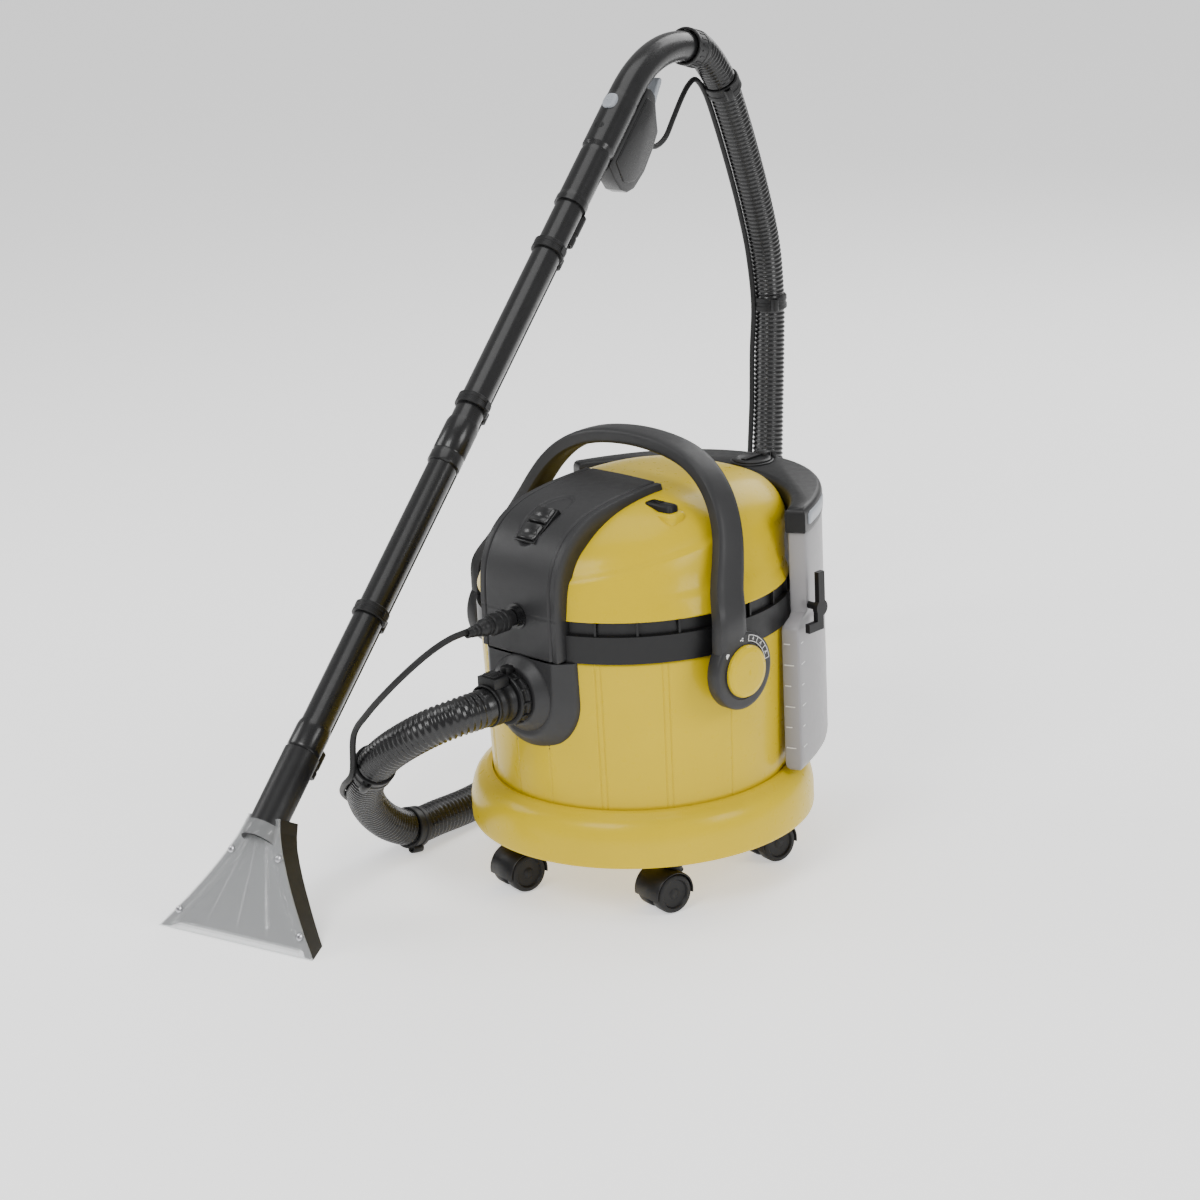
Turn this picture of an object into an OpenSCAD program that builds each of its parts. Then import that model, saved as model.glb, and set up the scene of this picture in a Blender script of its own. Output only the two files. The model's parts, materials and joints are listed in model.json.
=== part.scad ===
// Drum spray extractor: a wheeled drum with a dark front panel, a rear clean-water
// tank, a carrying bail, and a two-tube floor wand on a corrugated suction hose.
// Millimetres. Origin on the floor under the drum's axis, front towards -Y, +Z up.

/* [Drum] */
// Radius of the base ring at its widest
base_r = 193; // [188:1:198]
// Height of the base ring's lower edge above the floor
base_z = 62; // [60:1:66]
// Radius of the waste tank at its rim
tank_r = 171; // [168:0.5:171]
// Height of the waste tank's rim above the floor
tank_top_z = 288; // [280:1:292]
// Wall thickness of the moulded shells
wall = 3; // [2:0.5:4]

/* [Head] */
// Height of the black head band
band_h = 45; // [40:1:48]
// Height of the very top of the head cover
head_top_z = 444; // [438:1:450]
// Half width of the dark front panel
panel_half_w = 57; // [50:1:60]

/* [Handle] */
// Distance of the handle pivot in front of the drum's axis
pivot_forward = 34; // [28:1:40]
// Height of the handle pivot above the floor
pivot_z = 270; // [262:1:275]
// Radius of the round handle bosses
boss_r = 43; // [38:1:46]
// Thickness of the handle arms
arm_t = 17; // [12:1:18]

/* [Castors] */
// Number of castors
castor_count = 5; // [4:1:5]
// Radius of the circle on which the castor stems stand
castor_circle_r = 150; // [140:1:154]
// Radius of the castor wheels
wheel_r = 22; // [20:0.5:23]
// Distance that a wheel trails behind its stem
trail = 12; // [8:1:14]

/* [Wand] */
// Angle between the wand's tubes and the floor
wand_elevation = 40; // [40:1:40]
// Outer radius of the suction tubes
tube_r = 17.5; // [16:0.25:18]
// Wall thickness of the suction tubes
tube_wall = 1.6; // [1.2:0.1:2.5]
// Width of the floor nozzle's mouth
nozzle_w = 212; // [190:1:230]

/* [Hoses] */
// Outer diameter of the corrugated suction hose
hose_d = 42; // [38:1:43]
// Outer diameter of the spray hose
spray_d = 7; // [6:0.5:8]

/* [Hidden] */
$fn = 64;
eps = 0.01;

// Colours of the moulded plastics
yellow = [0.98, 0.85, 0.05];
dark = [0.2, 0.2, 0.21];
black = [0.07, 0.07, 0.075];
pale = [0.75, 0.76, 0.78];
clear = [0.85, 0.87, 0.88, 0.5];
steel = [0.7, 0.7, 0.72];

band_top_z = tank_top_z + band_h;
band_r = tank_r + 3;
tank_floor_z = 98;
tank_floor_r = tank_r - 5;
port_z = 246;
port_r = 20;
spray_z = 333;
bail_x = band_r + 1.5 + arm_t / 2;
castor_start = -107;
castor_heading = 350;

// Rows of the head cover: height, half width, front half length, rear half length
cover_rows = [
    [band_top_z + 0.3, 172, 172, 172], [350, 162, 170, 170], [362, 153, 168, 168],
    [385, 142, 160, 167], [400, 135, 149, 166], [414, 124, 132, 162], [426, 107, 112, 150],
    [435, 84, 88, 118], [441, 55, 58, 76], [head_top_z, 20, 20, 26]
];

// Front panel's side view, as distances behind the front and heights
panel_side = [
    [-178, 290], [-178, 345], [-176, 372], [-170, 393], [-158, 412], [-140, 427],
    [-114, 438], [-80, 444], [-44, 447], [-8, 448]
];

// Centre line of one half of the carrying bail, from the boss to the middle
bail_route = [
    [bail_x, -44, 284], [bail_x, -47, 306], [bail_x - 1, -46, 330], [bail_x - 14, -33, 356],
    [159, -18, 379], [149, -6, 402], [138, 2, 424], [124, 8, 444], [104, 13, 462],
    [78, 17, 475], [44, 19, 483], [0, 20, 486]
];

// Route of the suction hose, from the front port to the grip
hose_route = [
    [0, -214, 246], [0, -238, 245], [-8, -264, 242], [-26, -284, 233], [-52, -296, 217],
    [-84, -300, 195], [-118, -294, 168], [-150, -279, 138], [-180, -256, 107],
    [-203, -226, 74], [-216, -192, 45], [-221, -156, 27], [-223, -112, 25], [-228, -60, 22],
    [-238, 0, 21.5], [-256, 90, 21.5], [-280, 190, 21.5], [-306, 290, 21.5],
    [-332, 385, 21.5], [-354, 465, 21.5], [-373, 535, 25], [-390, 597, 42], [-405, 646, 76],
    [-417, 683, 124], [-426, 706, 182], [-431, 717, 246], [-434, 725, 312],
    [-436, 732, 380], [-437, 736, 448], [-434, 728, 520], [-429, 708, 584],
    [-423, 682, 648], [-416, 652, 712], [-411, 628, 757], [-406, 602, 788],
    [-401.6, 579.1, 807.3], [-399.4, 568.8, 810.3], [-396.3, 554.3, 814.5]
];

// Where each route point's spray hose lies, in degrees round the suction hose
spray_turn = [
    0, 0, 0, 0, 0, 0, 0, 0, 10, 20, 15, -20, -40, -45, -45, -45, -45, -45, -45, -45, -45, -45,
    -35, -15, 10, 30, 45, 45, 225, 225, 225, 225, 225, 225, 225, 225, 225, 225
];
spray_first = 6;
spray_last = 33;

// Free ends of the spray hose: at the panel, and at the trigger housing
spray_front = [
    [0, -253, 335], [-2, -275, 333], [-8, -298, 324], [-22, -318, 306], [-46, -330, 280],
    [-76, -333, 250], [-106, -328, 218]
];

wand_foot = [-182, -454, 0];
wand_heading = 12;
axis_start = -59.3;
grip_start = 1128;
bend_start = 1215;
bend_r = 173;
bend_angle = 56;

// A point s along the tube axis and n above it, in the floor frame
function wand_point(s, n) =
    let (y = axis_start + s * cos(wand_elevation) - n * sin(wand_elevation))
    [wand_foot[0] - y * sin(wand_heading), wand_foot[1] + y * cos(wand_heading),
        s * sin(wand_elevation) + n * cos(wand_elevation)];

// Free end of the spray hose, from the last clip to the trigger housing
spray_back = [
    [-421, 589, 768], [-413, 566, 765], [-403, 541, 752], [-392, 513, 732],
    [-383, 487, 712], [-377, 462, 705], wand_point(1207, -83.5)
];

// ---------------------------------------------------------------- vector helpers
function unit(v) = v / norm(v);
function tangent(p, i) = unit(p[min(i + 1, len(p) - 1)] - p[max(i - 1, 0)]);
function side_of(t) = abs(t[2]) > 0.98 ? [-1, 0, 0] : unit(cross([0, 0, 1], t));
function flat(list) = [for (row = list) for (item = row) item];
function ring_face(r, i, n) = [r * n + i, r * n + (i + 1) % n, (r + 1) * n + (i + 1) % n,
    (r + 1) * n + i];

// Direction that keeps turning as little as possible along a route
function carry(p, i) = i == 0
    ? let (t = tangent(p, 0), s = side_of(t)) s
    : let (t = tangent(p, i), s = carry(p, i - 1)) unit(s - (s * t) * t);

// The same route, a little longer at both ends
function longer(p) = concat([p[0] - unit(p[1] - p[0])],
    [for (i = [1:len(p) - 2]) p[i]], [p[len(p) - 1] + unit(p[len(p) - 1] - p[len(p) - 2])]);

// A point beside the suction hose, where the spray hose runs
function beside(i) =
    let (t = tangent(hose_route, i), s = side_of(t), u = cross(t, s))
    hose_route[i]
        + (hose_d / 2 + spray_d / 2 + 0.2) * (cos(spray_turn[i]) * s + sin(spray_turn[i]) * u);

spray_route = concat(
    spray_front,
    [for (i = [spray_first:spray_last]) beside(i)],
    spray_back
);

// Closed tube of radius r swept along route p
module sweep_round(p, r, sides) {
    rings = [for (i = [0:len(p) - 1])
        let (t = tangent(p, i), s = carry(p, i), u = cross(t, s))
        [for (k = [0:sides - 1]) p[i] + r * (cos(360 * k / sides) * s + sin(360 * k / sides) * u)]];
    sweep_rings(rings);
}

// Closed solid through a list of rings with equal point counts
module sweep_rings(rings) {
    n = len(rings[0]);
    last = len(rings) - 1;
    polyhedron(
        points = flat(rings),
        faces = concat(
            [[for (i = [0:n - 1]) i]],
            flat([for (r = [0:last - 1]) [for (i = [0:n - 1])
                let (f = ring_face(r, i, n)) [f[3], f[2], f[1], f[0]]]]),
            [[for (i = [n - 1:-1:0]) last * n + i]]
        ),
        convexity = 10
    );
}

// Place children at p with their +Z along direction d
module aim(p, d) {
    translate(p)
        rotate([0, acos(d[2] / norm(d)), atan2(d[1], d[0])])
            children();
}

module ring(r_out, r_in, h) {
    difference() {
        cylinder(r = r_out, h = h);
        translate([0, 0, -1])
            cylinder(r = r_in, h = h + 2);
    }
}

// ---------------------------------------------------------------- drum
module base_ring() {
    color(yellow)
        difference() {
            union() {
                rotate_extrude($fn = 96)
                    polygon([
                        [0, tank_floor_z - 4], [0, tank_floor_z], [tank_floor_r + 1, tank_floor_z],
                        [tank_floor_r + 1.2, 121], [tank_r + 1, 121], [184, 113], [190, 101],
                        [base_r, 86], [base_r, base_z], [base_r - wall, base_z],
                        [base_r - wall, 85], [187, 98], [182, 109], [172, 116], [172, 94]
                    ]);
                for (k = [0:castor_count - 1])
                    rotate([0, 0, castor_start + 72 * k])
                        translate([castor_circle_r, 0, base_z - 2])
                            cylinder(r = 13, h = 36);
            }
            for (k = [0:castor_count - 1])
                rotate([0, 0, castor_start + 72 * k])
                    translate([castor_circle_r, 0, base_z - 3])
                        cylinder(r = 5.05, h = 29);
        }
}

module waste_tank() {
    color(yellow)
        difference() {
            rotate_extrude($fn = 96)
                polygon([
                    [0, tank_floor_z + 0.2], [tank_floor_r - 4, tank_floor_z + 0.2],
                    [tank_floor_r, tank_floor_z + 5], [tank_r, tank_top_z - 0.3],
                    [tank_r - wall, tank_top_z - 0.3], [tank_floor_r - wall, tank_floor_z + 6],
                    [tank_floor_r - 6, tank_floor_z + 3.2], [0, tank_floor_z + 3.2]
                ]);
            translate([0, -140, port_z])
                rotate([90, 0, 0])
                    cylinder(r = port_r + 0.3, h = 60);
            for (side = [-1, 1])
                translate([side * 140, -pivot_forward, pivot_z])
                    rotate([0, side * 90, 0])
                        cylinder(r = 8.1, h = 60);
        }
}

// Bent plate inside the waste tank that turns the incoming water downwards
module inlet_deflector() {
    color(black)
        difference() {
            translate([-30, -162, port_z - 42])
                cube([60, 40, 70]);
            translate([-27, -170, port_z - 50])
                cube([54, 45, 75]);
        }
}

// ---------------------------------------------------------------- front panels
module lower_panel() {
    color(dark)
        difference() {
            union() {
                translate([0, -150, 0])
                    rotate([90, 0, 0])
                        linear_extrude(height = 28, convexity = 4)
                            polygon(concat(
                                [for (a = [180:12:360])
                                    [64 * cos(a), port_z - 4 + 64 * sin(a)]],
                                [[panel_half_w + 5, tank_top_z - 1], [-panel_half_w - 5, tank_top_z - 1]]
                            ));
                translate([0, -177, port_z])
                    rotate([90, 0, 0])
                        cylinder(r1 = 43.5, r2 = 32, h = 13);
                translate([0, -165, port_z])
                    rotate([90, 0, 0])
                        cylinder(r = port_r + 2.5, h = 37);
            }
            translate([0, 0, 90])
                cylinder(r1 = tank_floor_r + 0.3, r2 = tank_r + 0.4, h = 200, $fn = 96);
            translate([0, -130, port_z])
                rotate([90, 0, 0])
                    cylinder(r = port_r - 2.5, h = 90);
        }
}

module upper_panel() {
    inner = [for (i = [len(panel_side) - 1:-1:0])
        [panel_side[i][0] + 34, max(panel_side[i][1] - 26, 290)]];
    color(dark)
        difference() {
            translate([-panel_half_w, 0, 0])
                rotate([90, 0, 90])
                    linear_extrude(height = 2 * panel_half_w, convexity = 8)
                        polygon(concat(panel_side, inner));
            cover_solid(0.3);
            translate([0, 0, 200])
                cylinder(r = band_r + 0.3, h = band_top_z - 199.4, $fn = 96);
            translate([0, -150, spray_z])
                rotate([90, 0, 0])
                    cylinder(r = 11.3, h = 40);
            translate(switch_place(0))
                rotate([switch_tilt, 0, 0])
                    translate([-15.1, -24.1, -22])
                        cube([30.2, 48.2, 40]);
        }
}

// ---------------------------------------------------------------- head
module head_band() {
    color(black)
        difference() {
            union() {
                ring_band(tank_top_z, band_r, band_h - 15);
                ring_band(tank_top_z + band_h - 15, band_r - 6, 15);
                for (a = [0:15:345])
                    rotate([0, 0, a])
                        translate([band_r - 8, -1.2, tank_top_z + band_h - 15.5])
                            cube([6.5, 2.4, 15.5]);
            }
            translate([-150, 36, tank_top_z + 15])
                rotate([0, -90, 0])
                    cylinder(r = 7.1, h = 40);
        }
}

module ring_band(z, r, h) {
    translate([0, 0, z])
        difference() {
            cylinder(r = r, h = h, $fn = 96);
            translate([0, 0, -1])
                cylinder(r = tank_r - 6, h = h + 2, $fn = 96);
        }
}

// Rounded outline of the head cover at one height, a little squarer at the rear
function cover_point(row, a, grow) =
    let (
        squareness = sin(a) > 0 ? 2 + min(1, max(0, (row[0] - 345) / 50)) : 2,
        half_y = sin(a) > 0 ? row[3] : row[2],
        r = pow(pow(abs(cos(a)) / row[1], squareness) + pow(abs(sin(a)) / half_y, squareness),
            -1 / squareness) + grow
    )
    [r * cos(a), r * sin(a), row[0] + (row[0] > band_top_z + 1 ? grow : 0)];

module cover_solid(grow) {
    rings = [for (row = cover_rows) [for (k = [0:35]) cover_point(row, k * 10, grow)]];
    sweep_rings(rings);
}

module head_cover() {
    color(yellow)
        difference() {
            cover_solid(0);
            translate([0, 0, -wall])
                cover_solid(-wall);
            translate(latch_place)
                translate([-19.3, -8.3, -30])
                    cube([38.6, 16.6, 60]);
            translate(switch_place(0))
                rotate([switch_tilt, 0, 0])
                    translate([-15.1, -24.1, -22])
                        cube([30.2, 48.2, 40]);
        }
}

switch_tilt = 35;
function switch_place(dx) = [dx, -142, 424.5];
latch_place = [84, -38, 428];

module switch_bezel() {
    color(black)
        translate(switch_place(0))
            rotate([switch_tilt, 0, 0])
                translate([-15, -24, -18])
                    difference() {
                        cube([30, 48, 20]);
                        translate([3, 2, 2])
                            cube([24, 20.5, 30]);
                        translate([3, 25.5, 2])
                            cube([24, 20.5, 30]);
                    }
}

module rocker(y0) {
    translate(switch_place(0))
        rotate([switch_tilt, 0, 0])
            translate([-11.7, y0, -12])
                difference() {
                    cube([23.4, 19.9, 18]);
                    translate([-1, 4, 18])
                        rotate([0, 90, 0])
                            cylinder(r = 2, h = 26);
                }
}

module switch_suction() {
    color(black)
        rocker(-21.7);
}

module switch_spray() {
    color(black)
        rocker(1.8);
}

module head_latch() {
    color(black)
        translate(latch_place)
            translate([-19, -8, -14])
                cube([38, 16, 22]);
}

// ---------------------------------------------------------------- inside the head
module motor_plate() {
    color(black)
        difference() {
            translate([0, 0, tank_top_z + 4])
                cylinder(r = tank_r - 6.3, h = 4, $fn = 96);
            translate([0, 0, tank_top_z])
                cylinder(r = 30, h = 12);
        }
}

module turbine_housing() {
    color(black)
        translate([0, 0, tank_top_z + 8.2])
            difference() {
                cylinder(r = 62, h = 40);
                translate([0, 0, 3])
                    cylinder(r = 59, h = 34);
                translate([0, 0, -1])
                    cylinder(r = 28, h = 6);
                translate([0, 0, 30])
                    cylinder(r = 8, h = 20);
            }
}

module fan_rotor() {
    color(steel)
        translate([0, 0, tank_top_z + 15]) {
            cylinder(r = 54, h = 2);
            cylinder(r = 4, h = 96);
            for (a = [0:40:320])
                rotate([0, 0, a])
                    translate([10, -1, 1.5])
                        cube([42, 2, 12]);
            translate([0, 0, 45])
                cylinder(r = 20, h = 34);
        }
}

module motor_case() {
    color(steel)
        translate([0, 0, tank_top_z + 48.4])
            difference() {
                cylinder(r = 38, h = 74);
                translate([0, 0, 5])
                    cylinder(r = 30, h = 60);
                translate([0, 0, -1])
                    cylinder(r = 4.05, h = 80);
            }
}

module pump_body() {
    color(dark)
        translate([-98, 40, tank_top_z + 8.2]) {
            cylinder(r = 20, h = 46);
            translate([-14, -14, 0])
                cube([28, 28, 20]);
            translate([0, 0, 46])
                cylinder(r = 6, h = 12);
        }
}

module float_cage() {
    color(black)
        translate([0, 0, tank_top_z + 3.8])
            mirror([0, 0, 1])
                difference() {
                    union() {
                        cylinder(r = 40, h = 4);
                        ring(36, 32, 62);
                        translate([0, 0, 59])
                            cylinder(r = 36, h = 3);
                    }
                    translate([0, 0, -1])
                        cylinder(r = 18, h = 8);
                    for (a = [0:60:300])
                        rotate([0, 0, a])
                            translate([20, -9, 10])
                                cube([30, 18, 44]);
                }
}

module float_ball() {
    color(pale)
        translate([0, 0, tank_top_z - 32.9])
            sphere(r = 22);
}

module flat_filter() {
    color(pale)
        translate([0, 0, tank_top_z + 8.2])
            difference() {
                ring(150, 68, 22);
                translate([-98, 40, -1])
                    cylinder(r = 24, h = 60);
            }
}

module tank_gasket() {
    color(black)
        translate([0, 0, tank_top_z - 4.5])
            ring(tank_r - wall - 0.5, tank_r - wall - 7, 4.2);
}

// ---------------------------------------------------------------- connections
module spray_socket() {
    color(black)
        translate([0, -174.6, spray_z])
            rotate([90, 0, 0])
                difference() {
                    union() {
                        cylinder(r = 11, h = 12);
                        translate([0, 0, 3.7])
                            cylinder(r = 14, h = 3);
                    }
                    translate([0, 0, 3])
                        cylinder(r = 6.2, h = 20);
                }
}

module spray_plug() {
    color(black)
        translate([0, -178, spray_z])
            rotate([90, 0, 0]) {
                cylinder(r = 6, h = 10);
                translate([0, 0, 9.2])
                    cylinder(r = 9, h = 9);
                translate([0, 0, 18])
                    cylinder(r = 12, h = 24);
                translate([0, 0, 42])
                    cylinder(r = 9.5, h = 12);
                translate([0, 0, 54])
                    cylinder(r1 = 8, r2 = 5, h = 20.8);
            }
}

// Cable outlet on the left side of the head band
module mains_gland() {
    color(black)
        translate([-175.5, 36, tank_top_z + 15])
            rotate([0, -90, 0])
                difference() {
                    union() {
                        translate([0, 0, -16])
                            cylinder(r = 7, h = 26);
                        cylinder(r = 9, h = 3);
                    }
                    translate([0, 0, -10])
                        cylinder(r = 4.3, h = 40);
                }
}

// ---------------------------------------------------------------- carrying handle
// Rounded rectangle, one ring of the bail
function bail_ring(p, t, w, h) =
    let (s = unit(cross(t, [0, 1, 0])), v = cross(t, s))
    [for (c = [[1, 0.6], [0.85, 0.85], [0.5, 1], [-0.5, 1], [-0.85, 0.85], [-1, 0.6],
        [-1, -0.6], [-0.85, -0.85], [-0.5, -1], [0.5, -1], [0.85, -0.85], [1, -0.6]])
        p + c[0] * h / 2 * s + c[1] * w / 2 * v];
function mirrored(p) = [-p[0], p[1], p[2]];
bail_full = concat(bail_route, [for (i = [len(bail_route) - 2:-1:0]) mirrored(bail_route[i])]);

module handle_bail() {
    n = len(bail_full);
    color(dark)
        difference() {
            union() {
                sweep_rings([for (i = [0:n - 1])
                    let (f = abs(2 * i / (n - 1) - 1))
                    bail_ring(bail_full[i], tangent(bail_full, i), 33 + 10 * f * f, arm_t)]);
                for (side = [-1, 1])
                    translate([side * (bail_x - arm_t / 2), -pivot_forward, pivot_z])
                        rotate([0, side * 90, 0])
                            cylinder(r = boss_r, h = arm_t);
            }
            for (side = [-1, 1])
                translate([side * (bail_x - arm_t / 2 - 1), -pivot_forward, pivot_z])
                    rotate([0, side * 90, 0])
                        cylinder(r = 8.06, h = arm_t + 2);
        }
}

module handle_caps() {
    color(yellow)
        for (side = [-1, 1])
            translate([side * (bail_x + arm_t / 2 + 0.05), -pivot_forward, pivot_z])
                rotate([0, side * 90, 0])
                    rotate_extrude()
                        polygon([[0, 0], [28.5, 0], [28.5, 3], [27, 5.5], [22, 7], [12, 8], [0, 8.4]]);
}

module pivot_pins() {
    color(steel)
        for (side = [-1, 1])
            translate([side * (tank_r - 26), -pivot_forward, pivot_z])
                rotate([0, side * 90, 0]) {
                    cylinder(r = 8, h = bail_x + arm_t / 2 - tank_r + 25.5);
                    cylinder(r = 13, h = 10);
                }
}

// ---------------------------------------------------------------- clean-water tank
// Outer radius of the tank at plan angle a
function tank_out(a) = 195 + 43 * pow(sin((min(a, 180 - a) - 18.5) * 90 / 71.5), 2);
function crescent(a0, r_in, grow) = concat(
    [for (a = [a0:(180 - 2 * a0) / 22:180 - a0 + eps])
        let (r = tank_out(a) - grow) [r * cos(a), r * sin(a)]],
    [for (a = [180 - a0:-(180 - 2 * a0) / 22:a0 - eps])
        let (r = r_in + grow) [r * cos(a), r * sin(a)]]
);

module slab(points, z0, z1) {
    translate([0, 0, z0])
        linear_extrude(height = z1 - z0, convexity = 6)
            polygon(points);
}

lower_tank_z = 122;
shoulder_z = 294;
upper_tank_z = 388;
cap_top_z = 416;

module clean_tank() {
    color(clear)
        difference() {
            union() {
                slab(crescent(18.5, 175, 0), lower_tank_z, shoulder_z);
                slab(crescent(28, 176, 0.5), shoulder_z - eps, upper_tank_z);
            }
            slab(crescent(20, 175, wall), lower_tank_z + wall, shoulder_z - wall);
            slab(crescent(30, 176, wall + 0.5), shoulder_z - wall - eps, upper_tank_z + 1);
            translate([0, 205, lower_tank_z - 1])
                cylinder(r = 9.1, h = 6);
            for (side = [-1, 1])
                translate([side * 168, 96, 305])
                    rotate([0, 90, 0])
                        cylinder(r = 4.05, h = 60, center = true);
        }
}

module clean_tank_cap() {
    color(black)
        difference() {
            slab(crescent(27, 175.5, -0.5), upper_tank_z + 0.05, cap_top_z);
            slab(crescent(30, 176, wall), upper_tank_z - 1, cap_top_z - wall);
            translate([0, 203, cap_top_z - 10])
                cylinder(r = 18.4, h = 20);
            for (side = [-1, 1])
                rotate([0, 0, 90 + side * 30])
                    translate([184, -28, cap_top_z - 2])
                        cube([26, 56, 10]);
        }
    color(black)
        translate([0, 228, cap_top_z + 4.4])
            rotate([0, 90, 0]) {
                cylinder(r = 1.2, h = 24, center = true);
                for (side = [-1, 1])
                    translate([0, 0, side * 10.5])
                        cylinder(r = 3, h = 4, center = true);
            }
    color(black)
        for (side = [-1, 1])
            translate([side * 10.5 - 2, 225, cap_top_z - 1])
                cube([4, 6, 5.4]);
}

module filler_lid() {
    color(black)
        difference() {
            union() {
                translate([0, 203, cap_top_z - 3])
                    cylinder(r = 17.7, h = 4);
                translate([0, 203, cap_top_z + 0.4])
                    cylinder(r = 22, h = 3.6);
                translate([0, 228, cap_top_z + 4.4])
                    rotate([0, 90, 0])
                        cylinder(r = 3, h = 16, center = true);
                translate([-8, 216, cap_top_z + 1.8])
                    cube([16, 11, 5]);
            }
            translate([0, 228, cap_top_z + 4.4])
                rotate([0, 90, 0])
                    cylinder(r = 1.25, h = 40, center = true);
        }
}

module tank_valve() {
    color(black)
        translate([0, 205, 0]) {
            translate([0, 0, 104])
                cylinder(r = 6, h = 22);
            translate([-16, -37, 104])
                cube([32, 54, 12]);
        }
}

module cable_hook(side) {
    color(black)
        translate([side * 172, 96, 305]) {
            rotate([0, side * 90, 0]) {
                translate([0, 0, -8])
                    cylinder(r = 4, h = 24);
                translate([0, 0, 13])
                    cylinder(r = 9, h = 6);
            }
            translate([side * 16 - 3, -5, -3])
                cube([6, 10, 44]);
            translate([side * 16 - 3, -22, -24])
                cube([6, 22, 10]);
            translate([side * 16 - 3, -8, -24])
                cube([6, 10, 24]);
        }
}

module cable_hook_right() {
    cable_hook(1);
}

module cable_hook_left() {
    cable_hook(-1);
}

// ---------------------------------------------------------------- castors
module at_castor(k) {
    rotate([0, 0, castor_start + 72 * k])
        translate([castor_circle_r, 0, 0])
            rotate([0, 0, castor_heading - castor_start - 72 * k])
                children();
}

module castor_hood(k) {
    color(black)
        at_castor(k)
            difference() {
                union() {
                    translate([0, 0, 42])
                        cylinder(r = 5, h = 43);
                    castor_cover();
                    translate([-3.9, -trail - 8, wheel_r - 8])
                        cube([7.8, 16, 20]);
                }
                translate([0, -trail, wheel_r])
                    rotate([0, 90, 0])
                        cylinder(r = 3.05, h = 60, center = true);
            }
}

module castor_cover() {
    difference() {
        union() {
            translate([0, 0, 40])
                cylinder(r = 11, h = 18);
            translate([0, -trail, wheel_r])
                rotate([0, 90, 0])
                    cylinder(r = wheel_r + 3, h = 42, center = true);
        }
        translate([-40, -trail - 40, -10])
            cube([80, 80, wheel_r + 6]);
        for (side = [-1, 1])
            translate([side * 14.2, -trail, wheel_r])
                rotate([0, 90, 0])
                    cylinder(r = wheel_r + 0.8, h = 19.6, center = true);
    }
}

module castor_wheels(k) {
    color(black)
        at_castor(k)
            translate([0, -trail, wheel_r])
                rotate([0, 90, 0]) {
                    cylinder(r = 3, h = 20, center = true);
                    for (side = [-1, 1])
                        translate([0, 0, side * 13])
                            difference() {
                                cylinder(r = wheel_r, h = 16, center = true);
                                translate([0, 0, side * 8])
                                    cylinder(r = wheel_r - 6, h = 4, center = true);
                            }
                }
}

// ---------------------------------------------------------------- suction hose
module bayonet_ring() {
    color(black)
        translate([0, -191, port_z])
            rotate([90, 0, 0]) {
                difference() {
                    cylinder(r = 29, h = 15);
                    translate([0, 0, -1])
                        cylinder(r = port_r + 4, h = 20);
                }
                translate([-5, 27, 2])
                    cube([10, 9, 11]);
            }
}

module hose_connector() {
    color(black)
        translate([0, -203, port_z])
            rotate([90, 0, 0])
                difference() {
                    union() {
                        cylinder(r = port_r + 3.6, h = 30);
                        translate([-13, port_r, 5])
                            cube([26, 13, 22]);
                    }
                    translate([0, 0, -1])
                        cylinder(r = port_r - 3, h = 14);
                    translate([0, 0, 11])
                        cylinder(r = hose_d / 2 + 0.1, h = 20);
                }
}

module suction_hose() {
    color(black)
        difference() {
            sweep_round(hose_route, hose_d / 2, 12);
            sweep_round(longer(hose_route), hose_d / 2 - 2.5, 8);
        }
}

module spray_hose() {
    color(black)
        sweep_round(spray_route, spray_d / 2, 8);
}

clip_at = [6, 11, 24, 28, 33];

module hose_clips() {
    color(dark)
        for (i = clip_at)
            aim(hose_route[i], tangent(hose_route, i))
                translate([0, 0, -9])
                    ring(hose_d / 2 + 3, hose_d / 2 + 0.4, 18);
}

// ---------------------------------------------------------------- wand
// Children stand on the floor in the wand's plane
module wand_frame() {
    translate(wand_foot)
        rotate([0, 0, wand_heading])
            children();
}

// Children lie along the tube: +Z up the tube, -Y above it
module on_tube(s) {
    wand_frame()
        translate([0, axis_start + s * cos(wand_elevation), s * sin(wand_elevation)])
            rotate([wand_elevation - 90, 0, 0])
                children();
}

module tube_length(s0, s1, r) {
    on_tube(s0)
        ring(r, tube_r - tube_wall, s1 - s0);
}

module tube_lower() {
    color(dark) {
        tube_length(232, 688, tube_r);
        tube_length(268, 300, tube_r + 2);
    }
}

module tube_upper() {
    color(dark)
        on_tube(650)
            difference() {
                union() {
                    translate([0, 0, 38.3])
                        cylinder(r = tube_r, h = 430);
                    cylinder(r = tube_r + 2.4, h = 62);
                }
                translate([0, 0, -1])
                    cylinder(r = tube_r + 0.1, h = 39.3);
                translate([0, 0, 30])
                    cylinder(r = tube_r - tube_wall, h = 500);
            }
}

module handle_grip() {
    color(dark) {
        difference() {
            on_tube(1034)
                cylinder(r = tube_r + 2.4, h = bend_start - 1033);
            on_tube(1030)
                cylinder(r = tube_r + 0.1, h = 90);
            on_tube(1100)
                cylinder(r = tube_r - tube_wall + 0.3, h = 130);
            on_tube(1172)
                translate([-9.2, -tube_r - 7, 0])
                    cube([18.4, 10, 32]);
            on_tube(1140)
                translate([0, -tube_r + 3, 8])
                    rotate([90, 0, 0])
                        cylinder(r = 7.2, h = 10);
        }
        bend_place()
            rotate_extrude(angle = bend_angle, $fn = 96)
                translate([bend_r, 0])
                    difference() {
                        circle(r = tube_r + 2);
                        circle(r = tube_r - tube_wall);
                    }
    }
}

// Children turn about the centre of the grip's bend
module bend_place() {
    on_tube(bend_start)
        translate([0, bend_r, 0])
            rotate([90, 0, -90])
                children();
}

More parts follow.
